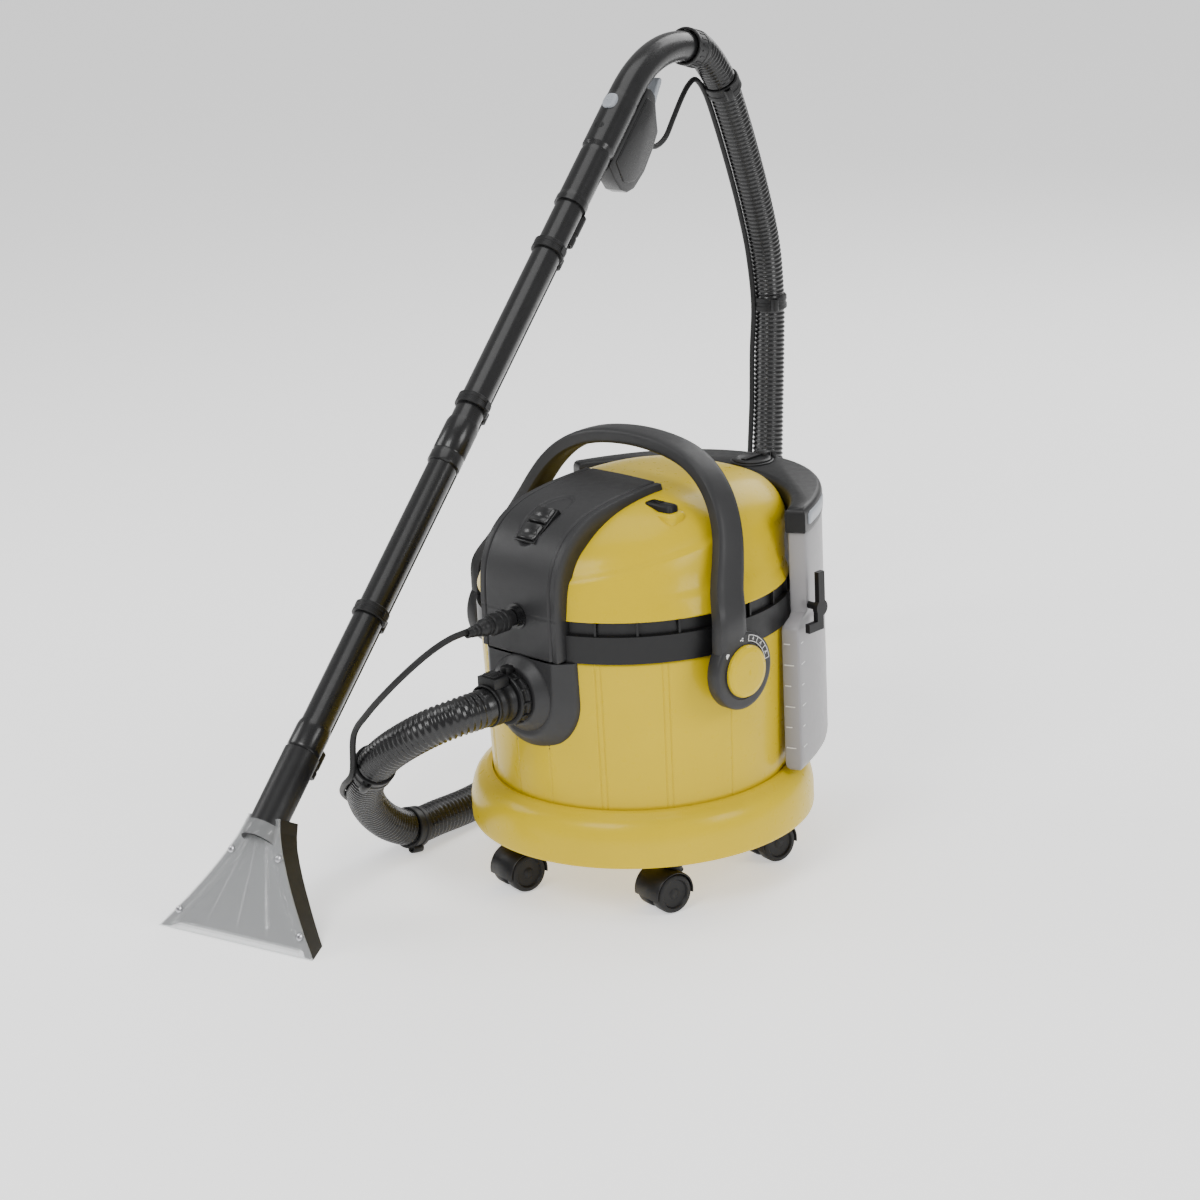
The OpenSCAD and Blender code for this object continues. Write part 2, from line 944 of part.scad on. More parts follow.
// Solid round bend with the grip's centre line, for clearance cuts
module grip_bend(r, over) {
    bend_place()
        rotate([0, 0, -over])
            rotate_extrude(angle = bend_angle + 2 * over, $fn = 96)
                translate([bend_r, 0])
                    circle(r = r);
}

module hose_cuff() {
    color(black)
        aim(bend_point(0), bend_dir(0))
            translate([0, 0, -16])
                difference() {
                    cylinder(r = hose_d / 2 + 3.4, h = 30);
                    translate([0, 0, -1])
                        cylinder(r = hose_d / 2 + 0.6, h = 32);
                }
}

function bend_point(extra) =
    let (a = bend_angle + extra)
    wand_point(bend_start + bend_r * sin(a), bend_r * (cos(a) - 1));
function bend_dir(extra) =
    let (a = bend_angle + extra)
    wand_point(cos(a), -sin(a)) - wand_point(0, 0);

// Flat housing of the spray trigger under the grip
module trigger_housing() {
    color(dark)
        difference() {
            on_tube(1120)
                rotate([90, 0, 90])
                    translate([0, 0, -14])
                        linear_extrude(height = 28, convexity = 4)
                            polygon([[20, -6], [20, 128], [40, 128], [60, 112], [78, 100],
                                [84, 76], [88, 40], [84, 12], [62, -8]]);
            on_tube(1118)
                cylinder(r = tube_r + 2.7, h = 140);
            grip_bend(tube_r + 2.5, 2);
            on_tube(1120)
                translate([-8.3, 34, 84])
                    cube([16.6, 40, 60]);
            trigger_pivot(3.05, 40);
        }
}

// Children turn about the trigger's own pivot, across the grip
module trigger_pivot(r, h) {
    on_tube(1215)
        translate([0, 60, 0])
            rotate([0, 90, 0])
                cylinder(r = r, h = h, center = true);
}

module trigger() {
    color(pale) {
        on_tube(1206)
            translate([0, 58, 0])
                rotate([90, 0, 90])
                    translate([0, 0, -8])
                        linear_extrude(height = 16, convexity = 4)
                            polygon([[-4, 2], [-9, 22], [-16, 44], [-21, 64], [-18, 71],
                                [-12, 67], [-7, 46], [1, 24], [9, 10], [7, 2]]);
        trigger_pivot(3, 26);
    }
}

module vent_slider() {
    color(pale)
        on_tube(1174)
            translate([-9, -tube_r - 6, 0])
                cube([18, 8.6, 22]);
}

module tube_button() {
    color(dark)
        on_tube(1148)
            translate([0, -tube_r + 2.8, 0])
                rotate([90, 0, 0])
                    cylinder(r = 7, h = 4);
}

module spray_pipe() {
    color(black)
        on_tube(236) {
            translate([0, tube_r + 7.4, 0])
                cylinder(r = 4, h = 876);
            translate([0, tube_r + 10.6, 12])
                cylinder(r = 7, h = 34);
            translate([0, tube_r + 10.6, 762])
                cylinder(r = 7, h = 46);
        }
}

module pipe_clips() {
    color(black)
        for (s = [440, 732, 962])
            on_tube(s)
                difference() {
                    union() {
                        cylinder(r = tube_r + 3.2, h = 14);
                        translate([0, tube_r + 7.4, 0])
                            cylinder(r = 7, h = 14);
                    }
                    translate([0, 0, -1])
                        cylinder(r = tube_r + 0.1, h = 16);
                    translate([0, tube_r + 7.4, -1])
                        cylinder(r = 4.1, h = 16);
                }
}

// ---------------------------------------------------------------- floor nozzle
// Front outline of the fan-shaped nozzle: half widths at heights up the face
function fan_half(v) = 21 + (nozzle_w / 2 - 21) * pow(1 - v / 140, 1.35);
fan_outline = concat(
    [for (v = [0:14:140]) [fan_half(v), v]],
    [for (v = [140:-14:0]) [-fan_half(v), v]]
);
face_lean = 61;

// Extrude an outline from the face backwards by t, starting d behind the face
module on_face(t, d) {
    wand_frame()
        rotate([face_lean, 0, 0])
            translate([0, 0, -d - t])
                linear_extrude(height = t, convexity = 6)
                    children();
}

module nozzle_body() {
    color(black)
        difference() {
            union() {
                intersection() {
                    on_face(90, 3.2)
                        polygon(fan_outline);
                    wand_frame()
                        rotate([90, 0, 90])
                            translate([0, 0, -nozzle_w])
                                linear_extrude(height = 2 * nozzle_w, convexity = 4)
                                    polygon([[0, 0], [36, 0], [58, 36], [84, 84], [116, 128],
                                        [70, 150], [20, 60]]);
                }
                on_tube(150)
                    cylinder(r = tube_r + 3, h = 112);
            }
            on_tube(220)
                cylinder(r = tube_r + 0.1, h = 60);
            on_tube(140)
                cylinder(r = tube_r - tube_wall, h = 100);
            mouth_slot();
            translate([0, 0, -60])
                cube([1200, 1600, 120], center = true);
        }
}

// Suction slot just behind the window
module mouth_slot() {
    on_face(12, 2)
        offset_fan(10);
}

module offset_fan(by) {
    polygon(concat(
        [for (v = [-2:14:138]) [max(fan_half(max(v, 0)) - by, 6), v]],
        [for (v = [138:-14:-2]) [-max(fan_half(max(v, 0)) - by, 6), v]]
    ));
}

module nozzle_window() {
    color(clear)
        difference() {
            on_face(3, 0)
                polygon(fan_outline);
            on_tube(146)
                cylinder(r = tube_r + 3.3, h = 60);
            translate([0, 0, -60])
                cube([1200, 1600, 120], center = true);
        }
}

module nozzle_screws() {
    color(steel)
        for (side = [-1, 1])
            for (v = [22, 98])
                wand_frame()
                    rotate([face_lean, 0, 0])
                        translate([side * (fan_half(v) - 5.5), v, -9])
                            cylinder(r = 2.2, h = 11);
}

base_ring();
waste_tank();
inlet_deflector();
lower_panel();
upper_panel();
head_band();
head_cover();
switch_bezel();
switch_suction();
switch_spray();
head_latch();
motor_plate();
turbine_housing();
fan_rotor();
motor_case();
pump_body();
float_cage();
float_ball();
flat_filter();
tank_gasket();
spray_socket();
mains_gland();
handle_bail();
handle_caps();
pivot_pins();
clean_tank();
clean_tank_cap();
filler_lid();
tank_valve();
cable_hook_right();
cable_hook_left();
castor_hood(0);  // castor_hood_1
castor_hood(1);  // castor_hood_2
castor_hood(2);  // castor_hood_3
castor_hood(3);  // castor_hood_4
castor_hood(4);  // castor_hood_5
castor_wheels(0);  // castor_wheels_1
castor_wheels(1);  // castor_wheels_2
castor_wheels(2);  // castor_wheels_3
castor_wheels(3);  // castor_wheels_4
castor_wheels(4);  // castor_wheels_5
bayonet_ring();
hose_connector();
suction_hose();
spray_hose();
hose_clips();
spray_plug();
hose_cuff();
handle_grip();
trigger_housing();
trigger();
vent_slider();
tube_button();
tube_upper();
tube_lower();
spray_pipe();
pipe_clips();
nozzle_body();
nozzle_window();
nozzle_screws();
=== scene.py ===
"""Drum spray extractor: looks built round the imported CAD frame, in the CAD's own places.

Lengths below are millimetres.
"""

import json
import math

import bmesh
import bpy
from mathutils import Matrix, Vector


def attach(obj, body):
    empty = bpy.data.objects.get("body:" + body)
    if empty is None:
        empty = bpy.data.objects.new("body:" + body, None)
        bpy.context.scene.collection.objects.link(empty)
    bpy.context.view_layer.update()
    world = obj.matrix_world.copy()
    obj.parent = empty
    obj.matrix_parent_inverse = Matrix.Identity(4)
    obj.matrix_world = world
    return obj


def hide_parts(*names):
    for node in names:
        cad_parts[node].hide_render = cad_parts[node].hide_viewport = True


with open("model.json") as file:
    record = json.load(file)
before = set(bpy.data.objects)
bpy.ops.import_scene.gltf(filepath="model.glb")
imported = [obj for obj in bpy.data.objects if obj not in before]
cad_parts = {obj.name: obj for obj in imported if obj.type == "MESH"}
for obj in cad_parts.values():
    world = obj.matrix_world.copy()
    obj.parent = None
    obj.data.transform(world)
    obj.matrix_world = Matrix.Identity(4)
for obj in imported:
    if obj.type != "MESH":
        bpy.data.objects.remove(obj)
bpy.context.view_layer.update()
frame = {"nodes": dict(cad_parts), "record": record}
MM = 0.001


# ---------------------------------------------------------------- camera
def rad(a):
    return math.radians(a)


def add_camera(place, target, roll, lens):
    """A camera at place that looks at target, turned by roll degrees about its own line of sight."""
    data = bpy.data.cameras.new("camera")
    data.lens = lens
    data.sensor_width = 36
    data.clip_end = 30
    cam = bpy.data.objects.new("camera", data)
    bpy.context.scene.collection.objects.link(cam)
    look = (Vector(target) - Vector(place)).to_track_quat("-Z", "Y")
    cam.matrix_world = (
        Matrix.Translation(Vector(place) * MM)
        @ look.to_matrix().to_4x4()
        @ Matrix.Rotation(rad(roll), 4, "Z")
    )
    bpy.context.scene.camera = cam


add_camera((2204.9, -2258.1, 1332.5), (-26.6, -26.6, 304.7), -2.86, 90)


# ---------------------------------------------------------------- mesh helpers
def make(name, verts, faces, body, node=None, slot=None, smooth=True, finish=None):
    """A mesh object from points in millimetres that rides on a body and may stand for CAD nodes."""
    mesh = bpy.data.meshes.new(name)
    mesh.from_pydata([Vector(v) * MM for v in verts], [], faces)
    bm = bmesh.new()
    bm.from_mesh(mesh)
    bmesh.ops.recalc_face_normals(bm, faces=bm.faces)
    bm.to_mesh(mesh)
    bm.free()
    if smooth:
        mesh.shade_smooth()
    obj = bpy.data.objects.new(name, mesh)
    bpy.context.scene.collection.objects.link(obj)
    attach(obj, body)
    if node:
        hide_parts(*([node] if isinstance(node, str) else node))
    if slot:
        obj.data.materials.append(MATERIALS[finish or slot])
    return obj


def edge_split(obj, angle=35):
    """Keeps edges sharper than the angle crisp while the rest stays smooth."""
    mod = obj.modifiers.new("crisp", "EDGE_SPLIT")
    mod.split_angle = rad(angle)
    return obj


def soften(obj, width, segments=2, angle=40):
    """Rounds the edges of a hard shape."""
    mod = obj.modifiers.new("round", "BEVEL")
    mod.width = width * MM
    mod.segments = segments
    mod.limit_method = "ANGLE"
    mod.angle_limit = rad(angle)
    mod.harden_normals = False
    return edge_split(obj, 50)


def place(verts, matrix):
    return [matrix @ Vector(v) for v in verts]


def rings_mesh(rings, closed_ring=True, caps=True):
    """Points and faces of a skin through rings of equal point counts."""
    n = len(rings[0])
    verts = [p for ring in rings for p in ring]
    faces = []
    for r in range(len(rings) - 1):
        for i in range(n if closed_ring else n - 1):
            j = (i + 1) % n
            faces.append((r * n + i, r * n + j, (r + 1) * n + j, (r + 1) * n + i))
    if caps:
        faces.append(tuple(range(n - 1, -1, -1)))
        last = (len(rings) - 1) * n
        faces.append(tuple(last + i for i in range(n)))
    return verts, faces


def lathe(profile, steps=64, matrix=Matrix(), start=0.0, sweep=360.0):
    """A profile of (radius, height) pairs turned about +Z, then placed by the matrix."""
    full = sweep >= 359.9
    count = steps if full else steps + 1
    rings = []
    for r, z in profile:
        r = max(r, 0.01)
        rings.append(
            [
                (r * math.cos(rad(start + sweep * k / steps)), r * math.sin(rad(start + sweep * k / steps)),
                z)
                for k in range(count)
            ]
        )
    verts, faces = rings_mesh(rings, closed_ring=full, caps=False)
    return place(verts, matrix), faces


def frames_along(points):
    """Tangent and two side directions at each point, turning as little as possible."""
    pts = [Vector(p) for p in points]
    out = []
    side = None
    for i, p in enumerate(pts):
        t = (pts[min(i + 1, len(pts) - 1)] - pts[max(i - 1, 0)]).normalized()
        if side is None:
            side = Vector((0, 0, 1)).cross(t)
            if side.length < 0.1:
                side = Vector((-1, 0, 0))
        side = (side - side.dot(t) * t).normalized()
        out.append((p, t, side, t.cross(side)))
    return out


def tube(points, radii, sides=20):
    """A round tube along the points, with a radius for each."""
    rings = []
    for (p, _, s, u), r in zip(frames_along(points), radii):
        rings.append(
            [
                p + r * (math.cos(2 * math.pi * k / sides) * s + math.sin(2 * math.pi * k / sides) * u)
                for k in range(sides)
            ]
        )
    return rings_mesh(rings)


def spline(points, step):
    """Points every step millimetres along a smooth curve through the given ones."""
    pts = [Vector(p) for p in points]
    pts = [2 * pts[0] - pts[1]] + pts + [2 * pts[-1] - pts[-2]]
    fine = []
    for i in range(1, len(pts) - 2):
        p0, p1, p2, p3 = pts[i - 1 : i + 3]
        for k in range(24):
            t = k / 24
            fine.append(
                0.5
                * (
                    2 * p1
                    + (p2 - p0) * t
                    + (2 * p0 - 5 * p1 + 4 * p2 - p3) * t * t
                    + (3 * p1 - p0 - 3 * p2 + p3) * t * t * t
                )
            )
    fine.append(pts[-2])
    total = sum((b - a).length for a, b in zip(fine, fine[1:]))
    count = max(2, round(total / step))
    out, want, run = [fine[0]], total / count, 0.0
    for a, b in zip(fine, fine[1:]):
        seg = (b - a).length
        while run + seg >= want - 1e-6 and len(out) < count:
            f = (want - run) / seg
            a = a.lerp(b, f)
            seg = (b - a).length
            run = 0.0
            out.append(a.copy())
        run += seg
    out.append(fine[-1])
    return out


def slab(outline, z0, z1):
    """A plate between two heights with the given outline of (x, y) points."""
    return rings_mesh([[(x, y, z0) for x, y in outline], [(x, y, z1) for x, y in outline]])


def box_part(lo, hi, matrix=Matrix()):
    x0, y0, z0 = lo
    x1, y1, z1 = hi
    verts, faces = slab([(x0, y0), (x1, y0), (x1, y1), (x0, y1)], z0, z1)
    return place(verts, matrix), faces


def merge(*parts):
    """Several (points, faces) pairs as one."""
    verts, faces = [], []
    for v, f in parts:
        base = len(verts)
        verts += list(v)
        faces += [tuple(base + i for i in face) for face in f]
    return verts, faces


def oval(rx, ry, power=2.0, count=48, turn=0.0):
    """Points round an ellipse, squarer with a higher power."""
    out = []
    for k in range(count):
        a = 2 * math.pi * k / count + turn
        c, s = math.cos(a), math.sin(a)
        r = (abs(c / rx) ** power + abs(s / ry) ** power) ** (-1 / power)
        out.append((r * c, r * s))
    return out


# ---------------------------------------------------------------- materials
def material(name, colour, rough, grain=0.0, grain_mm=0.6, vary=0.06, coat=0.0, metal=0.0, transmission=0.0,
             alpha=1.0, scuff=0.08, ior=1.46, wobble=0.0, shine=0.35):
    """A moulded or metal finish: slight colour and gloss variation, fine grain, faint scuffs."""
    mat = bpy.data.materials.new(name)
    mat.use_nodes = True
    tree = mat.node_tree
    nodes, links = tree.nodes, tree.links
    bsdf = nodes["Principled BSDF"]
    bsdf.inputs["Metallic"].default_value = metal
    bsdf.inputs["Coat Weight"].default_value = coat
    bsdf.inputs["Coat Roughness"].default_value = 0.08
    bsdf.inputs["Transmission Weight"].default_value = transmission
    bsdf.inputs["Alpha"].default_value = alpha
    bsdf.inputs["IOR"].default_value = ior
    bsdf.inputs["Specular IOR Level"].default_value = shine
    coords = nodes.new("ShaderNodeTexCoord")

    def noise(scale_mm, detail=3.0):
        tex = nodes.new("ShaderNodeTexNoise")
        tex.inputs["Scale"].default_value = 1000 / scale_mm
        tex.inputs["Detail"].default_value = detail
        links.new(coords.outputs["Object"], tex.inputs["Vector"])
        return tex

    cloud = noise(60)
    ramp = nodes.new("ShaderNodeValToRGB")
    ramp.color_ramp.elements[0].position = 0.3
    ramp.color_ramp.elements[1].position = 0.7
    ramp.color_ramp.elements[0].color = [c * (1 - vary) for c in colour] + [1]
    ramp.color_ramp.elements[1].color = [min(1, c * (1 + vary)) for c in colour] + [1]
    links.new(cloud.outputs["Fac"], ramp.inputs["Fac"])
    links.new(ramp.outputs["Color"], bsdf.inputs["Base Color"])
    scratch = noise(9, 8.0)
    spread = nodes.new("ShaderNodeMapRange")
    spread.inputs["From Min"].default_value = 0.35
    spread.inputs["From Max"].default_value = 0.75
    spread.inputs["To Min"].default_value = rough
    spread.inputs["To Max"].default_value = min(1, rough + scuff)
    links.new(scratch.outputs["Fac"], spread.inputs["Value"])
    links.new(spread.outputs["Result"], bsdf.inputs["Roughness"])
    if grain > 0:
        fine = noise(grain_mm, 2.0)
        bump = nodes.new("ShaderNodeBump")
        bump.inputs["Strength"].default_value = grain
        bump.inputs["Distance"].default_value = 0.0002
        links.new(fine.outputs["Fac"], bump.inputs["Height"])
        last = bump
        if wobble > 0:
            wide = noise(45, 1.0)
            bump2 = nodes.new("ShaderNodeBump")
            bump2.inputs["Strength"].default_value = wobble
            bump2.inputs["Distance"].default_value = 0.002
            links.new(wide.outputs["Fac"], bump2.inputs["Height"])
            links.new(bump2.outputs["Normal"], bump.inputs["Normal"])
        links.new(last.outputs["Normal"], bsdf.inputs["Normal"])
    return mat


MATERIALS = {
    "yellow_plastic": material("yellow_plastic", (0.6, 0.43, 0.0), 0.27, 0.04, 0.5, 0.02, coat=0.08,
        wobble=0.03, shine=0.2),
    "dark_plastic": material("dark_plastic", (0.02, 0.02, 0.021), 0.42, 0.2, 0.35, 0.08, shine=0.4),
    "black_plastic": material("black_plastic", (0.008, 0.008, 0.0085), 0.38, 0.18, 0.4, 0.1),
    "black_gloss": material("black_gloss", (0.009, 0.009, 0.0095), 0.26, 0.05, 0.4, 0.1, coat=0.15,
        shine=0.4),
    "pale_plastic": material("pale_plastic", (0.3, 0.32, 0.35), 0.34, 0.12, 0.5, 0.05, shine=0.45),
    "tank_plastic": material("tank_plastic", (0.34, 0.33, 0.34), 0.3, 0.06, 0.6, 0.03, transmission=0.3,
        alpha=0.9, wobble=0.08),
    "clear_plastic": material("clear_plastic", (0.9, 0.92, 0.93), 0.08, 0.03, 0.6, 0.01, transmission=0.6,
        alpha=0.42, scuff=0.08, shine=0.5),
    "steel": material("steel", (0.5, 0.5, 0.52), 0.28, 0.1, 0.3, 0.05, metal=1.0, shine=0.5),
    "black_rubber": material("black_rubber", (0.009, 0.009, 0.0095), 0.5, 0.3, 0.5, 0.1),
    "hose_plastic": material("hose_plastic", (0.007, 0.007, 0.0075), 0.24, 0.06, 0.5, 0.1, coat=0.15,
        shine=0.45),
    "filter_cloth": material("filter_cloth", (0.55, 0.54, 0.5), 0.9, 0.6, 1.2, 0.08),
    "white_print": material("white_print", (0.75, 0.75, 0.75), 0.5, 0.1, 0.4, 0.03),
}
SLOT_OF = {p["node"]: p["material_slot"] for p in frame["record"]["subparts"]}
for node_name, node_obj in frame["nodes"].items():
    node_obj.data.materials.clear()
    node_obj.data.materials.append(MATERIALS[SLOT_OF[node_name]])
    for poly in node_obj.data.polygons:
        poly.material_index = 0

# ---------------------------------------------------------------- hoses
HOSE_D = 42
HOSE_ROUTE = [
    (0, -214, 246), (0, -238, 245), (-8, -264, 242), (-26, -284, 233), (-52, -296, 217),
    (-84, -300, 195), (-118, -294, 168), (-150, -279, 138), (-180, -256, 107),
    (-203, -226, 74), (-216, -192, 45), (-221, -156, 27), (-223, -112, 25), (-228, -60, 22),
    (-238, 0, 21.5), (-256, 90, 21.5), (-280, 190, 21.5), (-306, 290, 21.5),
    (-332, 385, 21.5), (-354, 465, 21.5), (-373, 535, 25), (-390, 597, 42), (-405, 646, 76),
    (-417, 683, 124), (-426, 706, 182), (-431, 717, 246), (-434, 725, 312),
    (-436, 732, 380), (-437, 736, 448), (-434, 728, 520), (-429, 708, 584),
    (-423, 682, 648), (-416, 652, 712), (-411, 628, 757), (-406, 602, 788),
    (-401.6, 579.1, 807.3), (-399.4, 568.8, 810.3), (-396.3, 554.3, 814.5),
]
SPRAY_TURN = [
    0, 0, 0, 0, 0, 0, 0, 0, 10, 20, 15, -20, -40, -45, -45, -45, -45, -45, -45, -45, -45, -45,
    -35, -15, 10, 30, 45, 45, 225, 225, 225, 225, 225, 225, 225, 225, 225, 225,
]
SPRAY_D = 7
CLIP_AT = [6, 11, 24, 28, 33]


def side_point(i):
    """Where the spray hose lies beside the suction hose's route point i."""
    pts = [Vector(p) for p in HOSE_ROUTE]
    t = (pts[min(i + 1, len(pts) - 1)] - pts[max(i - 1, 0)]).normalized()
    s = Vector((0, 0, 1)).cross(t).normalized()
    u = t.cross(s)
    a = rad(SPRAY_TURN[i])
    return pts[i] + (HOSE_D / 2 + SPRAY_D / 2 + 0.2) * (math.cos(a) * s + math.sin(a) * u)


WAND_FOOT = Vector((-182, -454, 0))
WAND_TURN = 12
WAND_RISE = 40
WAND_START = -59.3
GRIP_BEND_AT, GRIP_BEND_R, GRIP_BEND = 1215, 173, 56
PIPE_BELOW, FITTING_BELOW = 24.9, 28.1
CLIPS_ON_WAND = (440, 732, 962)
WAND = Matrix.Translation(WAND_FOOT) @ Matrix.Rotation(rad(WAND_TURN), 4, "Z")


def on_tube(s):
    """Matrix with +Z up the tube at s, -Y above it and +X across it."""
    return (
        WAND
        @ Matrix.Translation((0, WAND_START + s * math.cos(rad(WAND_RISE)), s * math.sin(rad(WAND_RISE))))
        @ Matrix.Rotation(rad(WAND_RISE - 90), 4, "X")
    )


def wand_point(s, n):
    return on_tube(s) @ Vector((0, -n, 0))


SPRAY_ROUTE = (
    [(0, -253, 335), (-2, -275, 333), (-8, -298, 324), (-22, -318, 306), (-46, -330, 280),
     (-76, -333, 250), (-106, -328, 218)]
    + [side_point(i) for i in range(6, 34)]
    + [(-421, 589, 768), (-413, 566, 765), (-403, 541, 752), (-392, 513, 732), (-383, 487, 712),
        (-377, 462, 705)]
    + [wand_point(1207, -83.5)]
)

hose_line = spline(HOSE_ROUTE, 1.55)
pattern = [20.9, 20.9, 19.6, 19.2]
start_plain, end_plain = 18, 14
hose_radii = [
    20.9 if i < start_plain or i > len(hose_line) - end_plain else pattern[i % 4]
    for i in range(len(hose_line))
]
hose = make("suction_hose_skin", *tube(hose_line, hose_radii, 24), "machine", "suction_hose", "hose_plastic")
hose_path = [tuple(Vector(p) * MM) for p in spline(HOSE_ROUTE, 8)]

spray_line = spline(SPRAY_ROUTE, 5)
spray = make("spray_hose_skin", *tube(spray_line, [SPRAY_D / 2] * len(spray_line), 12), "machine",
    "spray_hose", "black_rubber")

clip_parts, clip_rings = [], frames_along(HOSE_ROUTE)
for i in CLIP_AT:
    p, t, s, u = clip_rings[i]
    m = Matrix.Translation(p) @ Matrix((s, u, t)).transposed().to_4x4()
    clip_parts.append(
        lathe([(21.2, -9), (23.2, -9), (24, -8), (24, -3), (23, -2), (23, 2), (24, 3), (24, 8), (23.2, 9),
            (21.2, 9)], 40, m)
    )
    a = rad(SPRAY_TURN[i])
    q = m @ Matrix.Translation((24.7 * math.cos(a), 24.7 * math.sin(a), 0))
    clip_parts.append(lathe([(3.5, -8), (5, -8), (5.4, -7), (5.4, 7), (5, 8), (3.5, 8)], 20, q))
clips = make("hose_clip_rings", *merge(*clip_parts), "machine", "hose_clips", "black_plastic")
edge_split(clips)

# ---------------------------------------------------------------- drum
TANK_FOOT_R, TANK_RIM_R = 166, 171
CASTOR_RING_R, CASTOR_FIRST, CASTOR_STEP = 150, -107, 72
CASTOR_HEADING, CASTOR_TRAIL, WHEEL_R = -10, 12, 22
GROOVES = [-81.5, -61.1, -59.0, -36.6, -34.4, -10.0]
GROOVES = GROOVES + [-180 - a for a in GROOVES]


def tank_wall():
    """The waste tank's wall, with narrow upright grooves between its flat panels."""
    angles = set(range(-180, 180, 3))
    for g in GROOVES:
        angles |= {g + d for d in (-0.75, -0.42, -0.2, 0, 0.2, 0.42, 0.75)}
    rings = []
    heights = [98.3, 99.5, 102, 108, 116, 124, 150, 180, 210, 240, 270, 284, 287.7]
    for z in heights:
        f = (z - 103) / (288 - 103)
        base = TANK_FOOT_R + (TANK_RIM_R - TANK_FOOT_R) * max(0, f) - (4 if z < 99 else 1.5 if z < 101 else 0)
        ring = []
        for a in sorted(angles):
            near = min(abs(a - g) for g in GROOVES)
            cut = 1.1 * max(0, 1 - near / 0.42) if 122 < z < 284.5 else 0
            ring.append(((base - cut) * math.cos(rad(a)), (base - cut) * math.sin(rad(a)), z))
        rings.append(ring)
    inner = [[(x * 0.982, y * 0.982, z) for x, y, z in ring] for ring in reversed(rings[1:])]
    return rings_mesh(rings + inner)


make("waste_tank_wall", *tank_wall(), "machine", "waste_tank", "yellow_plastic")


def base_skin():
    skirt = lathe(
        [(0, 98), (160, 98), (167.5, 98.5), (167.5, 120), (171.8, 120.8), (174.5, 118.6), (179, 116),
            (183.8, 112.6),
         (187.4, 107.5), (190, 101), (191.9, 93), (193, 85), (193, 66), (192.4, 63), (191, 62), (190, 62.6),
         (189.6, 70), (189.4, 85), (187, 95), (182, 105), (172, 112), (172, 94.5), (0, 94)],
        128,
    )
    parts = [skirt]
    for k in range(5):
        a = rad(CASTOR_FIRST + CASTOR_STEP * k)
        m = Matrix.Translation((CASTOR_RING_R * math.cos(a), CASTOR_RING_R * math.sin(a), 0))
        parts.append(lathe([(5.1, 60), (12, 60), (13, 61), (13, 95), (5.1, 95)], 24, m))
    return merge(*parts)


edge_split(make("base_ring_skin", *base_skin(), "machine", "base_ring", "yellow_plastic"), 50)


def parking_arch():
    """The raised arch on the ring where the floor tool is parked."""
    pts = []
    for k in range(17):
        a = math.pi * k / 16
        turn, rise = rad(8) + 0.085 * math.cos(a), 15 * math.sin(a)
        r = 191.5 - rise * 0.55
        pts.append((r * math.cos(turn), r * math.sin(turn), 88 + rise))
    return tube(pts, [1.6] * 17, 8)


make("parking_arch", *parking_arch(), "machine", None, "yellow_plastic")

# ---------------------------------------------------------------- head cover
COVER_ROWS = [
    (333.3, 172, 172, 172), (350, 162, 170, 170), (362, 153, 168, 168), (385, 142, 160, 167),
    (400, 135, 149, 166),
    (414, 124, 132, 162), (426, 107, 112, 150), (435, 84, 88, 118), (441, 55, 58, 76), (444, 20, 20, 26),
]


def blend_rows(t):
    """The cover's row at a fractional place in the list, on a smooth curve."""
    last = len(COVER_ROWS) - 1
    i = min(int(t), last - 1)
    f = t - i
    p = [COVER_ROWS[max(0, min(last, i + d))] for d in (-1, 0, 1, 2)]
    return [
        0.5 * (2 * b + (c - a) * f + (2 * a - 5 * b + 4 * c - d) * f * f + (3 * b - a - 3 * c + d) * f**3)
        for a, b, c, d in zip(*p)
    ]


def cover_radius(row, a):
    z, half_x, front, rear = row
    back = math.sin(a) > 0
    power = 2 + min(1, max(0, (z - 345) / 50)) if back else 2
    half_y = rear if back else front
    return (abs(math.cos(a) / half_x) ** power + abs(math.sin(a) / half_y) ** power) ** (-1 / power)


def crease_height(a):
    """The cover's crease rises from the front panel to the rear."""
    from_front = abs((math.degrees(a) + 90 + 180) % 360 - 180)
    return 360 + 44 * min(1, from_front / 100) ** 0.7


def head_cover():
    rings = []
    rows = [blend_rows(k / 7) for k in range(0, 7 * (len(COVER_ROWS) - 1) + 1)]
    for row in rows:
        ring = []
        for k in range(144):
            a = 2 * math.pi * k / 144
            gap = row[0] - crease_height(a)
            bulge = 2.8 * math.exp(-((gap / (2.2 if gap > 0 else 20)) ** 2))
            r = cover_radius(row, a) + (bulge if math.sin(a) < 0.1 else 0)
            if r * math.sin(a) < -60 and abs(r * math.cos(a)) < 45:
                r -= 8
            ring.append((r * math.cos(a), r * math.sin(a), row[0]))
        rings.append(ring)
    lip = [[(x * 0.985, y * 0.985, z) for x, y, z in rings[0]]]
    return rings_mesh(lip + rings)


make("head_cover_skin", *head_cover(), "machine", "head_cover", "yellow_plastic")


def pad_part(rx, ry, z0, z1, x, y, round_by, power=4.5):
    rows = [(z0, 0), (z1 - round_by, 0), (z1 - round_by * 0.4, round_by * 0.35), (z1, round_by)]
    return rings_mesh([[(x + px, y + py, z) for px, py in oval(rx - d, ry - d, power)] for z, d in rows])


make("latch_pad", *pad_part(26, 14, 408, 430.5, 84, -38, 3), "machine", None, "yellow_plastic")
latch = merge(
    pad_part(19, 8, 417, 438.2, 84, -38, 2.2, 7),
    *[box_part((70 + 4 * k, -43, 437.4), (71.6 + 4 * k, -33, 438.8)) for k in range(4)],
)
edge_split(make("latch_key", *latch, "head_latch", "head_latch", "black_plastic"))

